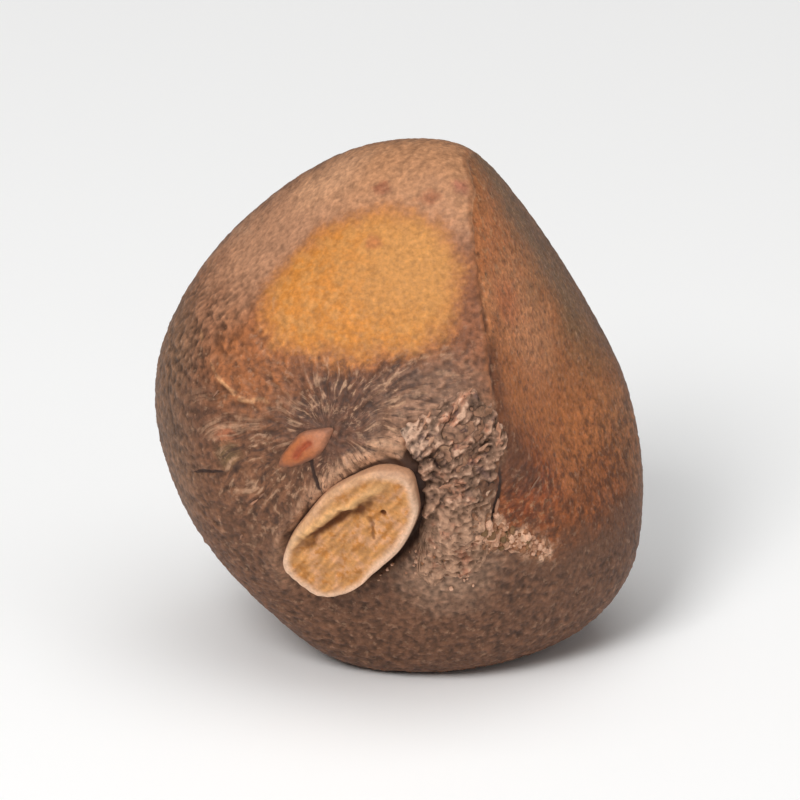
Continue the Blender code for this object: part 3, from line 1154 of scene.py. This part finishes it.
write_points(coat_mesh, rested(coat_base + coat_ways * coat_fine[:, None]))
store(
    coat_mesh,
    ridge_gap=coat_ridge,
    patch_gap=coat_patch,
    pad_gap=coat_pad,
    crack=coat_crack,
    crease=coat_crease,
    pinched=coat_pinched,
    furrow=coat_furrow,
    crust=coat_crust,
    collar=coat_collar,
    worn=np.clip(coat_leather + coat_hair + 0.6 * fade(coat_ridge, 0.3), 0, 1),
    tone=coat_tone,
    hair=coat_hair * (1 - 0.75 * fade(coat_ridge, 0.3)),
    strands=coat_strands,
)
show("coat", coat_mesh, skin)

# %% [markdown]
# ## Pads that lie on the skin
#
# The scar, the nub and the cork are pads, and one net serves them all: rings of points from
# the middle of the top out to the rim, and a few rings back to the middle underneath, which makes
# a closed piece. Each pad then says what height a point has. The finish gets the share of the way
# to the rim, and a number above 1 for what is underneath.

# %% A closed round net
UNDERNEATH = 1.2


def disc_net(rounds, rings, under_rings):
    """Radius, angle and side (1 on top, 0 below) of the points of a closed disc, and its faces."""
    radii = [k / rings for k in range(1, rings + 1)]
    radii += [k / (under_rings + 1) for k in range(under_rings, 0, -1)]
    tops = [1] * rings + [0] * under_rings
    turn = np.arange(rounds) * 2 * math.pi / rounds
    radius = np.concatenate([[0], np.repeat(radii, rounds), [0]])
    angle = np.concatenate([[0], np.tile(turn, len(radii)), [0]])
    top = np.concatenate([[1], np.repeat(tops, rounds), [0]])
    faces, last = [], len(radius) - 1
    for k in range(rounds):
        after = (k + 1) % rounds
        faces.append((0, 1 + k, 1 + after))
        faces.append((last, last - rounds + after, last - rounds + k))
        for ring in range(len(radii) - 1):
            inner = 1 + ring * rounds
            faces.append((inner + k, inner + rounds + k, inner + rounds + after, inner + after))
    return radius, angle, top, faces


def mesh_of(points, faces):
    """A mesh of faces between points given in millimetres from the core."""
    mesh = bpy.data.meshes.new("net")
    mesh.from_pydata(((points + CORE) * MM).tolist(), [], faces)
    return mesh


def flat_points(x, y):
    """Points on a level plane, where noise can be read."""
    return np.stack([x, y, np.zeros(len(x))], axis=1)


print("a net of 8 rounds has", len(disc_net(8, 2, 1)[3]), "faces")

# %% [markdown]
# ## The scar
#
# This is where the seed was joined to the fruit: a dry, straw-coloured pad, slightly dished, with
# a pale lip, highest on the lower right. A fold runs along its upper edge, where the pad shrank,
# and opens into a hollow in its middle. Above the fold the pith is rolled up and pleated, and below
# it lies a small dark hole, the mark of the vein that fed the seed. All of it is drawn in the pad's
# own flat plane, in millimetres, and the lip is equally wide all round.

# %% Lines on the scar
SCAR_RISE, SCAR_ROOT, SCAR_LIFT = 0.4, 1.8, 0.25
SCAR_DISH = 0.16
PAD_HALF, PAD_SHIFT = (3.99, 2.0), (0.03, 0.06)
FOLD = (
    (-2.5, 1.32), (-1.85, 1.26), (-1.2, 1.16), (-0.5, 1.02), (0.45, 0.92), (1.05, 0.58),
    (1.9, 0.43), (3.0, 0.22),
)
SHORT_FOLD = ((1.2, 0.16), (1.0, -0.25), (0.5, -0.62))
HOLE_AT = (1.81, -0.26)


def pad_outline(radius, angle, halves, blunt):
    """Places on an oval pad, squared off at its left end, for shares of its radius and angles."""
    x, y = radius * np.cos(angle), radius * np.sin(angle)
    square = blunt * np.clip(-x, 0, None)
    y = y * (1 + square * (1 - y * y))
    uneven = 1 + 0.012 * np.sin(5 * angle + 1) + 0.010 * np.sin(9 * angle + 2)
    return x * halves[0] * uneven, y * halves[1] * uneven


radius, angle, top, scar_faces = disc_net(280, 100, 12)
sx, sy = pad_outline(radius, angle, PAD_HALF, SCAR_BLUNT)
sx, sy = sx + PAD_SHIFT[0], sy + PAD_SHIFT[1]
on_pad = flat_points(sx, sy)
from_rim = (1 - radius) * np.hypot(*pad_outline(np.ones(len(radius)), angle, PAD_HALF, SCAR_BLUNT))
rim = np.clip(1 - from_rim / PAD_HALF[1], 0, 1)
shaken = on_pad[:, :2] + 0.22 * shake(on_pad, 0.6, (1, 2))
fold = gap_to_path(shaken, np.array(FOLD))
short_fold = gap_to_path(shaken, np.array(SHORT_FOLD))
above_fold = sy - np.interp(sx, *np.array(FOLD).T)
hole = np.hypot(sx - HOLE_AT[0], sy - HOLE_AT[1])
hollow = np.exp(-((sx - 0.1) / 1.0) ** 2 - ((sy - 0.94 + 0.18 * sx) / 0.22) ** 2)
fold_share = fade(-2.0 - sx, 1.6) * fade(sx - 2.0, 1.4)
print("fold is", round(FOLD[-1][0] - FOLD[0][0], 1), "mm long")

# %% [markdown]
# The heights are added up as they were on the skin. The lip and the roll of pith stand up, the
# dish, the folds, the hollow and the hole go down, and fine noise makes the pith fibrous.

# %% Heights of the scar
LIP_RISE, ROLL_RISE, PLEAT_RISE, FIBRE_RISE = 0.09, 0.13, 0.035, 0.012
FOLD_DEPTH, FOLD_WIDTH = 0.16, 0.19
SHORT_FOLD_DEPTH, SHORT_FOLD_WIDTH = 0.05, 0.09
HOLE_REACH, HOLE_DEPTH = 0.15, 0.16
HOLLOW_DEPTH = 0.11
PLEAT_EVERY = 0.42

lip_side = 0.5 + 0.5 * np.tanh(0.8 * (sx * 0.35 - sy))
# The wall of the pad is painted in shade on its lower right, where this share is 1
shaded_wall_side = 0.5 - 0.5 * np.tanh(1.2 * (sy + 0.3 * sx))
lip = bump_at(rim, 0.91, 0.07) * (0.2 + 1.0 * lip_side) * (1 + 0.9 * grain(on_pad, 0.5, 2))
rolled = bump_at(above_fold, 0.34, 0.26) * fade(sx - 3.0, 0.8) * fade(-2.6 - sx, 0.6)
pleats = np.sin(2 * math.pi * (sx + 0.25 * sy) / PLEAT_EVERY + 5.0 * grain(on_pad, 0.9, 7))
pleats *= np.clip(0.5 + 1.2 * grain(on_pad, 0.6, 14), 0, 1)
pleated = rolled * fade(sx - 0.8, 1.2)
fibres = even_out(grain(on_pad * np.array([0.45, 1.5, 1]), 0.30, 3))
scar_top = SCAR_RISE * np.sqrt(np.clip(1 - rim ** 9, 0, 1)) + LIP_RISE * lip
scar_top -= SCAR_DISH * np.clip(1 - (radius / 0.88) ** 2, 0, 1)
scar_top += ROLL_RISE * rolled * (1 + 0.5 * grain(on_pad, 0.5, 8)) + PLEAT_RISE * pleats * pleated
fold_depth = FOLD_DEPTH * (0.6 + 0.7 * grain(on_pad, 0.7, 9)) * (0.3 + 0.7 * fold_share)
scar_top -= fold_depth * bump_at(fold, 0, FOLD_WIDTH)
scar_top -= HOLLOW_DEPTH * hollow
scar_top -= SHORT_FOLD_DEPTH * bump_at(short_fold, 0, SHORT_FOLD_WIDTH)
scar_top -= HOLE_DEPTH * np.clip(1 - hole / HOLE_REACH, 0, 1) ** 0.5
scar_top += FIBRE_RISE * fibres + 0.035 * grain(on_pad, 0.50, 5) + 0.022 * grain(on_pad, 0.20, 4)
scar_height = np.where(top == 1, scar_top, -SCAR_ROOT * (1 - radius ** 6))
print("scar relief", round(float(np.ptp(scar_top[radius < 0.85])), 2), "mm")

# %% [markdown]
# The scar is a stiff pad, so it is stood on the seed just as it is, along its own three axes. The
# nub and the cork are thinner and follow the curve of the skin instead: their points are laid out
# flat as well, but then each one is sent out from the core until it meets the skin.

# %% Place the scar
def stood_up(x, y, height, place, axes):
    """Points given on a feature's own plane, brought to its place on the seed."""
    flat = np.outer(x, axes[0]) + np.outer(y, axes[1])
    return seat_on_coat(place) + flat + np.outer(height, axes[2])


def laid_on_coat(x, y, place, axes):
    """Directions from the core to points laid out flat on a feature's axes."""
    ways = seat_on_coat(place) + np.outer(x, axes[0]) + np.outer(y, axes[1])
    return ways / np.linalg.norm(ways, axis=1, keepdims=True)


scar_axes = leaning_axes(SCAR_FACES, SCAR_LEAN)
scar_mesh = mesh_of(stood_up(sx, sy, scar_height + SCAR_LIFT, SCAR_AT, scar_axes), scar_faces)
store(
    scar_mesh,
    rim=np.where(top == 1, rim, UNDERNEATH),
    fold=fold,
    short_fold=short_fold,
    rolled=rolled,
    lip=np.maximum(lip_side, 0.8 * fade(sx + 2.4, 1.0)),
    wall=shaded_wall_side,
    hollow=hollow,
    fold_share=fold_share,
    tip=fade(3.3 - sx, 0.8),
    hole=hole,
    fibres=np.clip(0.5 + 0.2 * fibres, 0, 1),
    pleats=0.5 + 0.5 * pleats * pleated,
)
print("scar", len(scar_faces), "faces")

# %% [markdown]
# The pith is the colour of straw, pinker in some places and more golden in others, with a pale
# lip. The folds, the hollow and the hole are painted shade, a deep brown and not black, because
# light that gets into dry pith comes out warm. The wall of the pad is painted in shade on its
# lower right.

# %% Finish of the scar
STRAW = screen(199, 141, 84)
STRAW_PINK = screen(208, 152, 108)
STRAW_GOLD = screen(188, 124, 62)
STRAW_PALE = screen(226, 186, 156)
ROLL_PALE = screen(224, 172, 116)
FOLD_SHADE = screen(98, 52, 16)
WALL_ROSE = screen(176, 130, 98)
SCAR_WALL_SHADE = screen(96, 60, 44)


def rim_of_scar(paint, colour):
    """Adds the pale lip, its rosy upper end and the wall of the pad, painted in shade on its lower right.
    """
    rim = paint.measure("rim")
    high = paint.ramp(paint.measure("lip"), 0.2, 1.0, 0.35, 1.0)
    edge = paint.times(paint.ramp(paint.frayed(rim, 0.4, 0.06), 0.68, 0.90), high)
    colour = paint.mix(edge, colour, STRAW_PALE)
    tip = paint.times(paint.measure("tip"), paint.ramp(rim, 0.80, 0.95, 0.0, 0.8))
    colour = paint.mix(tip, colour, WALL_ROSE)
    wall = paint.mix(paint.measure("wall"), WALL_ROSE, SCAR_WALL_SHADE)
    return paint.mix(paint.ramp(rim, 0.955, 0.995), colour, wall)


def folds_of_scar(paint, colour):
    """Adds painted shade in the fold with its hollow, the short fold and the hole."""
    fold = paint.frayed(paint.measure("fold"), 0.3, 0.09)
    broken = paint.ramp(paint.grain(0.7, 2.0, 3.0), 0.35, 0.60, 0.5, 1.0)
    deep = paint.ramp(paint.measure("fold_share"), 0.0, 1.0, 0.25, 1.0)
    shares = (
        paint.times(paint.ramp(fold, 0.36, 0.06), broken, deep),
        paint.ramp(paint.measure("hollow"), 0.2, 0.85, 0.0, 0.92),
        paint.ramp(paint.measure("short_fold"), 0.13, 0.03, 0.0, 0.55),
        paint.ramp(paint.measure("hole"), 0.17, 0.08),
    )
    for share in shares:
        colour = paint.mix(share, colour, FOLD_SHADE)
    return colour


def scar_finish():
    paint = Finish("scar_pith", specular=0.3)
    colour = paint.mix(paint.ramp(paint.grain(0.6, 3.0), 0.42, 0.62), STRAW, STRAW_PINK)
    colour = paint.mix(paint.ramp(paint.grain(0.45, 3.0, 5.0), 0.50, 0.66), colour, STRAW_GOLD)
    colour = paint.mix(paint.measure("rolled"), colour, ROLL_PALE)
    colour = paint.shade(colour, paint.ramp(paint.measure("fibres"), 0.0, 1.0, 0.78, 1.20))
    colour = paint.shade(colour, paint.ramp(paint.measure("pleats"), 0.0, 1.0, 0.78, 1.12))
    colour = folds_of_scar(paint, rim_of_scar(paint, colour))
    return paint.powdered(colour, paint.grain(0.15, 4.0, 4.0), (0.84, 1.14), (0.62, 0.85), 0.02)


show("scar", scar_mesh, scar_finish())

# %% [markdown]
# ## The nub
#
# The nub is a lens of thinner, redder skin over the pore that the root will push through. It is
# pointed at both ends, reddest along a short crease in its middle, paler at its right end, and
# melts into the skin at its rim. Laid on the curve of the skin, it stands out evenly all round.

# %% Nub
NUB_AT = (-28.3, 8.2)
NUB_FACES = (-27, 4)
NUB_LEAN = 42
NUB_HALF = (1.4, 0.6)
NUB_RISE, NUB_ROOT, NUB_LIFT = 0.2, 0.6, 0.03
NUB_CREASE_DEPTH, NUB_CREASE_WIDTH = 0.07, 0.09
NUB_CREASE = np.array([(-0.45, -0.08), (-0.1, 0.02), (0.25, 0.05)])
NUB_RED = screen(172, 98, 54)
NUB_PALE = screen(180, 116, 82)
NUB_DARK = screen(150, 66, 34)
NUB_SKIN = screen(124, 80, 58)

radius, angle, top, nub_faces = disc_net(160, 48, 6)
nx = NUB_HALF[0] * radius * np.cos(angle)
taper = 1 - 0.45 * np.abs(radius * np.cos(angle)) ** 1.5
ny = NUB_HALF[1] * radius * np.sin(angle) * taper * (1 + 0.07 * np.sin(5 * angle + 1))
on_nub = flat_points(nx, ny)
nub_crease = gap_to_path(on_nub[:, :2] + 0.04 * grain(on_nub, 0.3, 6)[:, None], NUB_CREASE)
dome = NUB_RISE * (1 - radius ** 3)
dome -= NUB_CREASE_DEPTH * bump_at(nub_crease, 0, NUB_CREASE_WIDTH)
dome += 0.018 * grain(on_nub * np.array([0.6, 1.6, 1]), 0.22, 5)
nub_height = np.where(top == 1, dome, -NUB_ROOT * (1 - radius ** 4)) + NUB_LIFT
nub_ways = laid_on_coat(nx, ny, NUB_AT, leaning_axes(NUB_FACES, NUB_LEAN))
nub_mesh = mesh_of(seed_points(nub_ways) + nub_ways * nub_height[:, None], nub_faces)
store(
    nub_mesh,
    rim=np.where(top == 1, radius, UNDERNEATH),
    crease=nub_crease,
    right=0.5 + 0.5 * nx / NUB_HALF[0],
)


def nub_finish():
    paint = Finish("nub_skin", specular=0.4)
    right = paint.frayed(paint.measure("right"), 0.35, 0.3)
    colour = paint.mix(paint.ramp(right, 0.45, 0.80), NUB_RED, NUB_PALE)
    crease = paint.frayed(paint.measure("crease"), 0.3, 0.12)
    colour = paint.mix(paint.ramp(crease, 0.30, 0.04, 0.0, 0.9), colour, NUB_DARK)
    rim = paint.frayed(paint.measure("rim"), 0.3, 0.16)
    colour = paint.mix(paint.ramp(rim, 0.62, 1.0, 0.0, 0.9), colour, NUB_SKIN)
    fine = paint.grain(0.12, 4.0)
    colour = paint.shade(colour, paint.ramp(fine, 0.2, 0.8, 0.82, 1.15))
    return paint.finish(colour, paint.ramp(fine, 0.2, 0.8, 0.5, 0.7), fine, 0.012)


show("nub", nub_mesh, nub_finish())

# %% [markdown]
# ## The cork
#
# Beside the scar the skin has burst into rough grey cork: broken plates with dark pits between
# them above, and a sandy crust below. Its net is laid over the raised plate of the seed. Terraces
# come from noise that is cut into steps, and the rim dips below the skin so that no gap can show.
# Its upper left corner is a paler lobe that lies over the collar of the scar.

# %% Outline and relief of the cork
CORK_CORNERS = (
    (-1.95, 2.0), (-1.7, 2.6), (-1.3, 2.55), (-0.5, 2.8), (0.2, 3.3), (1.2, 3.5), (1.9, 3.4),
    (2.4, 2.7), (2.6, 2.0), (3.0, 1.0), (2.7, 0.4), (2.2, 0.1), (2.0, -0.8), (2.0, -1.8), (1.7, -2.7),
    (1.65, -3.6), (1.7, -5.2), (1.05, -6.7), (-0.5, -7.3), (-1.9, -7.3), (-2.5, -7.0), (-2.35, -5.5),
    (-1.95, -4.0), (-1.45, -2.5), (-1.3, -1.2), (-1.3, -0.3), (-1.4, 0.6), (-1.6, 1.1),
)
CORK_OVER, CORK_ROOT = 0.12, 0.6
TERRACES = 4


def stepped(values, steps):
    """Values from 0 to 1 drawn together into level steps with steep edges."""
    scaled = values * steps
    level = np.floor(scaled)
    return (level + fade(0.5 - (scaled - level), 0.30)) / steps


cork_axes = leaning_axes(CORK_AT, CORK_LEAN)
radius, angle, top, cork_faces = disc_net(360, 120, 8)
rim = outline_reach(angle, CORK_CORNERS)
rim *= 1 + 0.035 * np.sin(17 * angle + 1.0) + 0.025 * np.sin(31 * angle)
cx, cy = radius * rim * np.cos(angle), radius * rim * np.sin(angle)
cork_ways = laid_on_coat(cx, cy, CORK_AT, cork_axes)
cork_base = seed_points(cork_ways)
under_lobe = collar_share(cork_base) * bump_at(pad_gap(cork_base), COLLAR_AT, FLANGE_WIDTH)
cork_base += FLANGE_HEIGHT * cork_ways * under_lobe[:, None]
print("cork reaches", round(float(rim.max()), 1), "mm,", len(cork_faces), "faces")

# %% [markdown]
# Three things make the relief of the cork: terraced plates and strands, both strongest in its
# upper half, and sand, strongest below. Pits and the cracks of the skin are then sunk into it.

# %% Plates, pits and sand
PLATE_HEIGHT, STRAND_HEIGHT, SAND_HEIGHT = 0.30, 0.085, 0.10
PIT_DOWN, CREVICE_DOWN, RIM_DOWN = 0.30, 0.50, 0.45
STRANDS_STEEP, STRANDS_LEVEL = 52, 6
LOBE_AT, LOBE_REACH = (1.2, 13.5), 0.9
# Each pit: its place and how far it reaches
PITS = (
    ((12, 14.4), 0.30), ((17.6, 15.6), 0.26), ((20.8, 19.2), 0.30), ((19.2, 12.8), 0.24),
    ((10.8, 9.2), 0.22), ((16, 7.6), 0.22), ((21.2, -0.8), 0.42), ((8.4, 6.4), 0.18),
)

upper = fade(-1.2 - cy, 1.6)
turn = np.radians(STRANDS_LEVEL + (STRANDS_STEEP - STRANDS_LEVEL) * fade(1.0 - cy, 1.4))
strand_lines = np.outer(np.cos(turn), cork_axes[0]) + np.outer(np.sin(turn), cork_axes[1])
strands = even_out(
    0.7 * smeared(cork_base, strand_lines, 0.27, 1.0, 61)
    + 0.5 * smeared(cork_base, strand_lines, 0.15, 0.5, 62)
)
bent = cork_base + 0.25 * shake(cork_base, 0.5, (51, 52, 53))
plates = np.clip(0.5 + 0.6 * grain(bent, 0.85, 3) + 0.35 * grain(bent, 0.40, 4), 0, 1)
sand = even_out(grain(cork_base, 0.20, 5) + 0.7 * grain(cork_base, 0.36, 6))
cork_relief = PLATE_HEIGHT * (stepped(plates, TERRACES) - 0.5) * (0.25 + 0.75 * upper)
cork_relief += STRAND_HEIGHT * np.tanh(strands) * (0.25 + 0.75 * upper)
cork_relief += SAND_HEIGHT * (0.30 + 0.25 * (1 - upper)) * sand
pitted = np.zeros(len(cork_base))
for place, reach in PITS:
    gap = np.linalg.norm(bent - seed_points(facing(*place)[None]), axis=1)
    pitted = np.maximum(pitted, bump_at(gap, 0, reach))
cork_relief -= PIT_DOWN * pitted
crevice = bump_at(nearest_line(bent, CRACKS), 0, 1)
cork_relief -= CREVICE_DOWN * crevice
cork_top = CORK_OVER + cork_relief - RIM_DOWN * (1 - fade(radius - 0.94, 0.07))
cork_height = np.where(top == 1, cork_top, -CORK_ROOT)
cork_mesh = mesh_of(cork_base + cork_ways * cork_height[:, None], cork_faces)
lobe = fade(away_from(cork_base, LOBE_AT) - LOBE_REACH, 0.8)
cork_tone = 0.5 + 0.13 * sand + (0.20 * strands + 0.35 * (stepped(plates, TERRACES) - 0.5)) * upper
cork_tone = np.clip(cork_tone + 0.20 * lobe - 0.6 * pitted, 0, 1)
store(cork_mesh, tone=cork_tone, pitted=np.maximum(pitted, crevice), upper=upper, lobe=lobe)
print("cork relief", round(float(np.ptp(cork_relief)), 2), "mm")

# %% [markdown]
# Cork is dead tissue full of air, so it is greyer and paler than the skin and has hardly any
# shine. Its crests are pale, its pits almost black, and the upper half has a breath of violet.

# %% Finish of the cork
CORK_GREY = screen(134, 103, 84)
CORK_ROSE = screen(160, 112, 88)
CORK_SAND = screen(162, 126, 102)
CORK_ASH = screen(150, 124, 106)
CORK_VIOLET = screen(84, 62, 62)
CORK_PALE = screen(206, 166, 140)
CORK_PIT = screen(52, 34, 28)


def cork_finish():
    paint = Finish("cork_bark", specular=0.2)
    tone = paint.measure("tone")
    upper = paint.measure("upper")
    colour = paint.mix(upper, CORK_SAND, CORK_GREY)
    colour = paint.mix(paint.ramp(paint.grain(0.9, 3.0), 0.52, 0.66), colour, CORK_ROSE)
    colour = paint.mix(paint.measure("lobe"), colour, CORK_ASH)
    colour = paint.shade(colour, paint.ramp(tone, 0.0, 1.0, 0.30, 1.70))
    violet = paint.times(paint.ramp(paint.grain(0.6, 3.0, 6.0), 0.56, 0.68, 0.0, 0.6), upper)
    colour = paint.mix(violet, colour, CORK_VIOLET)
    colour = paint.mix(paint.ramp(tone, 0.72, 0.95, 0.0, 0.8), colour, CORK_PALE)
    colour = paint.mix(paint.ramp(paint.grain(0.28, 3.0, 8.0), 0.60, 0.70, 0.0, 0.45), colour, CORK_PALE)
    grit = paint.times(paint.ramp(paint.grain(0.24, 3.0, 12.0), 0.42, 0.32), 0.6)
    colour = paint.mix(grit, colour, CORK_PIT)
    colour = paint.mix(paint.ramp(paint.measure("pitted"), 0.35, 0.85), colour, CORK_PIT)
    return paint.powdered(colour, paint.grain(0.12, 5.0, 2.0), (0.78, 1.2), (0.75, 0.95), 0.03)


show("cork", cork_mesh, cork_finish())

# %% [markdown]
# ## Flakes
#
# Where the skin has split it lifts in thin curled flakes, some pink and clean, some grey. A flake
# is the same closed net as a pad, only thin, bent along its length and set a little askew. All
# of them are joined into one mesh, and each keeps a tone of its own.

# %% One flake
FLAKE_HALF, FLAKE_ROUGH = 0.02, 0.02


def flake(place, lean, length, width, curl, tilt, lift, seed):
    """Points and faces of a thin flake that lies at a place on the skin."""
    radius, angle, top, faces = disc_net(20, 4, 3)
    ragged = 1 + 0.16 * np.sin(3 * angle + seed) + 0.10 * np.sin(5 * angle + 2.3 * seed)
    x = radius * ragged * np.cos(angle) * length / 2
    y = radius * ragged * np.sin(angle) * width / 2
    height = curl * (2 * x / length) ** 2
    height += FLAKE_HALF * top * (1 - radius ** 4) - FLAKE_HALF * (1 - top)
    height += tilt * y + FLAKE_ROUGH * grain(flat_points(x, y), 0.2, seed)
    along, across, outward = leaning_axes(place, lean)
    seat = seed_points(facing(*place)[None])[0] + outward * lift
    return seat + np.outer(x, along) + np.outer(y, across) + np.outer(height, outward), faces


def joined(pieces):
    """One mesh of many small closed pieces, each given as points, faces and a tone."""
    points, faces, tones, count = [], [], [], 0
    for piece_points, piece_faces, tone in pieces:
        points.append(piece_points)
        faces += [tuple(corner + count for corner in face) for face in piece_faces]
        tones.append(np.full(len(piece_points), tone))
        count += len(piece_points)
    mesh = mesh_of(np.concatenate(points), faces)
    store(mesh, tone=np.concatenate(tones))
    return mesh


print("a flake has", len(flake((0, 0), 0, 1, 0.4, 0.1, 0, 0, 1)[1]), "faces")

# %% [markdown]
# The flakes are placed one by one where the photograph shows pale slivers, most of them on the
# cork and beside it and a few on the left. A higher tone makes a flake pinker and then paler.

# %% Flakes on the cork and the skin
# Each flake: place, lean, length, width, curl, tilt, lift, tone
FLAKES = (
    ((14.8, 22.0), 58, 0.95, 0.20, 0.05, 0.3, 0.14, 0.82),
    ((17.8, 24.0), 50, 0.55, 0.14, 0.04, 0.2, 0.10, 0.70),
    ((11.0, 0.6), 6, 1.00, 0.18, 0.04, 0.4, 0.24, 0.66),
    ((12.6, -2.0), 2, 0.80, 0.12, 0.03, 0.3, 0.20, 0.60),
    ((6.8, 12.6), 62, 0.45, 0.18, 0.04, 0.2, 0.24, 0.84),
    ((6.0, 18.6), 62, 0.70, 0.10, 0.04, 0.1, 0.14, 0.76),
    ((25.0, 12.6), 80, 1.00, 0.22, 0.04, -0.4, 0.12, 0.72),
    ((20.8, 9.6), 30, 0.55, 0.20, 0.05, 0.4, 0.22, 0.84),
    ((14.8, 10.8), 16, 0.45, 0.16, 0.04, 0.3, 0.22, 0.80),
    ((21.6, -2.8), 60, 0.26, 0.14, 0.03, 0.2, 0.14, 0.92),
    ((2.0, 14.8), 18, 0.70, 0.22, 0.04, 0.3, 0.20, 0.58),
    ((25.6, -9.4), 84, 1.10, 0.13, 0.03, -0.3, 0.10, 0.66),
    ((29.6, -16.0), 42, 0.50, 0.12, 0.04, 0.2, 0.08, 0.78),
    ((39.2, -5.6), 48, 0.80, 0.09, 0.02, 0.1, 0.03, 0.56),
    ((-42.8, -9.6), 40, 0.75, 0.10, 0.03, 0.2, 0.05, 0.72),
    ((-40.4, -7.2), 44, 0.50, 0.08, 0.02, 0.2, 0.04, 0.58),
    ((-48.8, -20.8), 52, 0.55, 0.09, 0.02, 0.2, 0.04, 0.60),
    ((-55.6, 16.0), 56, 0.50, 0.08, 0.02, 0.1, 0.04, 0.60),
)
FLAKE_GREY = screen(126, 96, 78)
FLAKE_PINK = screen(180, 130, 102)
FLAKE_PALE = screen(206, 166, 138)


def flake_finish():
    paint = Finish("dry_flake", specular=0.25)
    tone = paint.measure("tone")
    colour = paint.mix(paint.ramp(tone, 0.50, 0.72), FLAKE_GREY, FLAKE_PINK)
    colour = paint.mix(paint.ramp(tone, 0.76, 0.95), colour, FLAKE_PALE)
    return paint.powdered(colour, paint.grain(0.15, 4.0, 3.0), (0.72, 1.15), (0.65, 0.9), 0.012)


pieces = [(*flake(*spec[:-1], seed), spec[-1]) for seed, spec in enumerate(FLAKES)]
print(len(FLAKES), "flakes")
show("flakes", joined(pieces), flake_finish())

# %% [markdown]
# ## Crumbs
#
# Below the cork lies a crust of dry crumbs in cream and tan. A crumb is an icosphere pushed out
# of shape by noise and sunk by nearly half. The crumbs are scattered along a line by seeded
# draws, so they lie the same each time.

# %% Crumbs of the crust
CRUST_CRUMBS, CRUST_SPREAD = 150, 1.9
CRUMB_SIZES, SPECK_SIZES = (0.06, 0.30), (0.04, 0.09)
CRUMB_OUT = 0.25
# Where specks of the same dust lie on the skin below
SPECKS = ((-6.8, -32.8), (2.0, -26.4), (6.0, -22.8), (13.2, -27.6), (17.6, -31.2), (22.0, -24.0))
SPECKS_EACH, SPECK_SPREAD = 9, 2.2


def ball_shape():
    """Points and faces of a small ball."""
    ball = bmesh.new()
    bmesh.ops.create_icosphere(ball, subdivisions=2, radius=1)
    points = np.array([vertex.co for vertex in ball.verts])
    faces = [tuple(vertex.index for vertex in face.verts) for face in ball.faces]
    ball.free()
    return points, faces


def crumb(ball, place, size, draw):
    """The ball at this size on the skin, uneven and turned at random."""
    points, faces = ball
    stretch = draw.uniform(0.6, 1.3, size=3)
    uneven = 1 + 0.45 * grain(points + draw.uniform(0, 50), 0.8)
    way = facing(*place)
    seat = seed_points(way[None])[0] + way * size * CRUMB_OUT
    return seat + points * uneven[:, None] * stretch * size, faces, draw.uniform(0, 1)


draw = np.random.default_rng(8)
ball = ball_shape()
pieces = []
steps = np.linspace(0, 1, len(CRUST))
for share in draw.uniform(0, 1, size=CRUST_CRUMBS):
    middle = np.array([np.interp(share, steps, angles) for angles in zip(*CRUST)])
    thin = 1 - 0.5 * share
    place = middle + draw.normal(size=2) * CRUST_SPREAD * thin
    pieces.append(crumb(ball, place, draw.uniform(*CRUMB_SIZES) * thin, draw))
for place in SPECKS:
    for _ in range(SPECKS_EACH):
        speck_place = place + draw.normal(size=2) * SPECK_SPREAD
        pieces.append(crumb(ball, speck_place, draw.uniform(*SPECK_SIZES), draw))
print(len(pieces), "crumbs")

# %% [markdown]
# Each crumb has drawn a tone of its own. A few are olive and the rest run from tan to cream, so
# that the crust doesn't look poured.

# %% Finish of the crumbs
CRUMB_TAN = screen(160, 112, 82)
CRUMB_CREAM = screen(222, 174, 144)
CRUMB_OLIVE = screen(124, 96, 66)


def crumb_finish():
    paint = Finish("dry_crumb", specular=0.2)
    tone = paint.measure("tone")
    colour = paint.mix(paint.ramp(tone, 0.2, 0.7), CRUMB_TAN, CRUMB_CREAM)
    colour = paint.mix(paint.ramp(tone, 0.12, 0.02), colour, CRUMB_OLIVE)
    return paint.powdered(colour, paint.grain(0.12, 4.0, 3.0), (0.70, 1.2), (0.7, 0.95), 0.012)


show("crumbs", joined(pieces), crumb_finish())
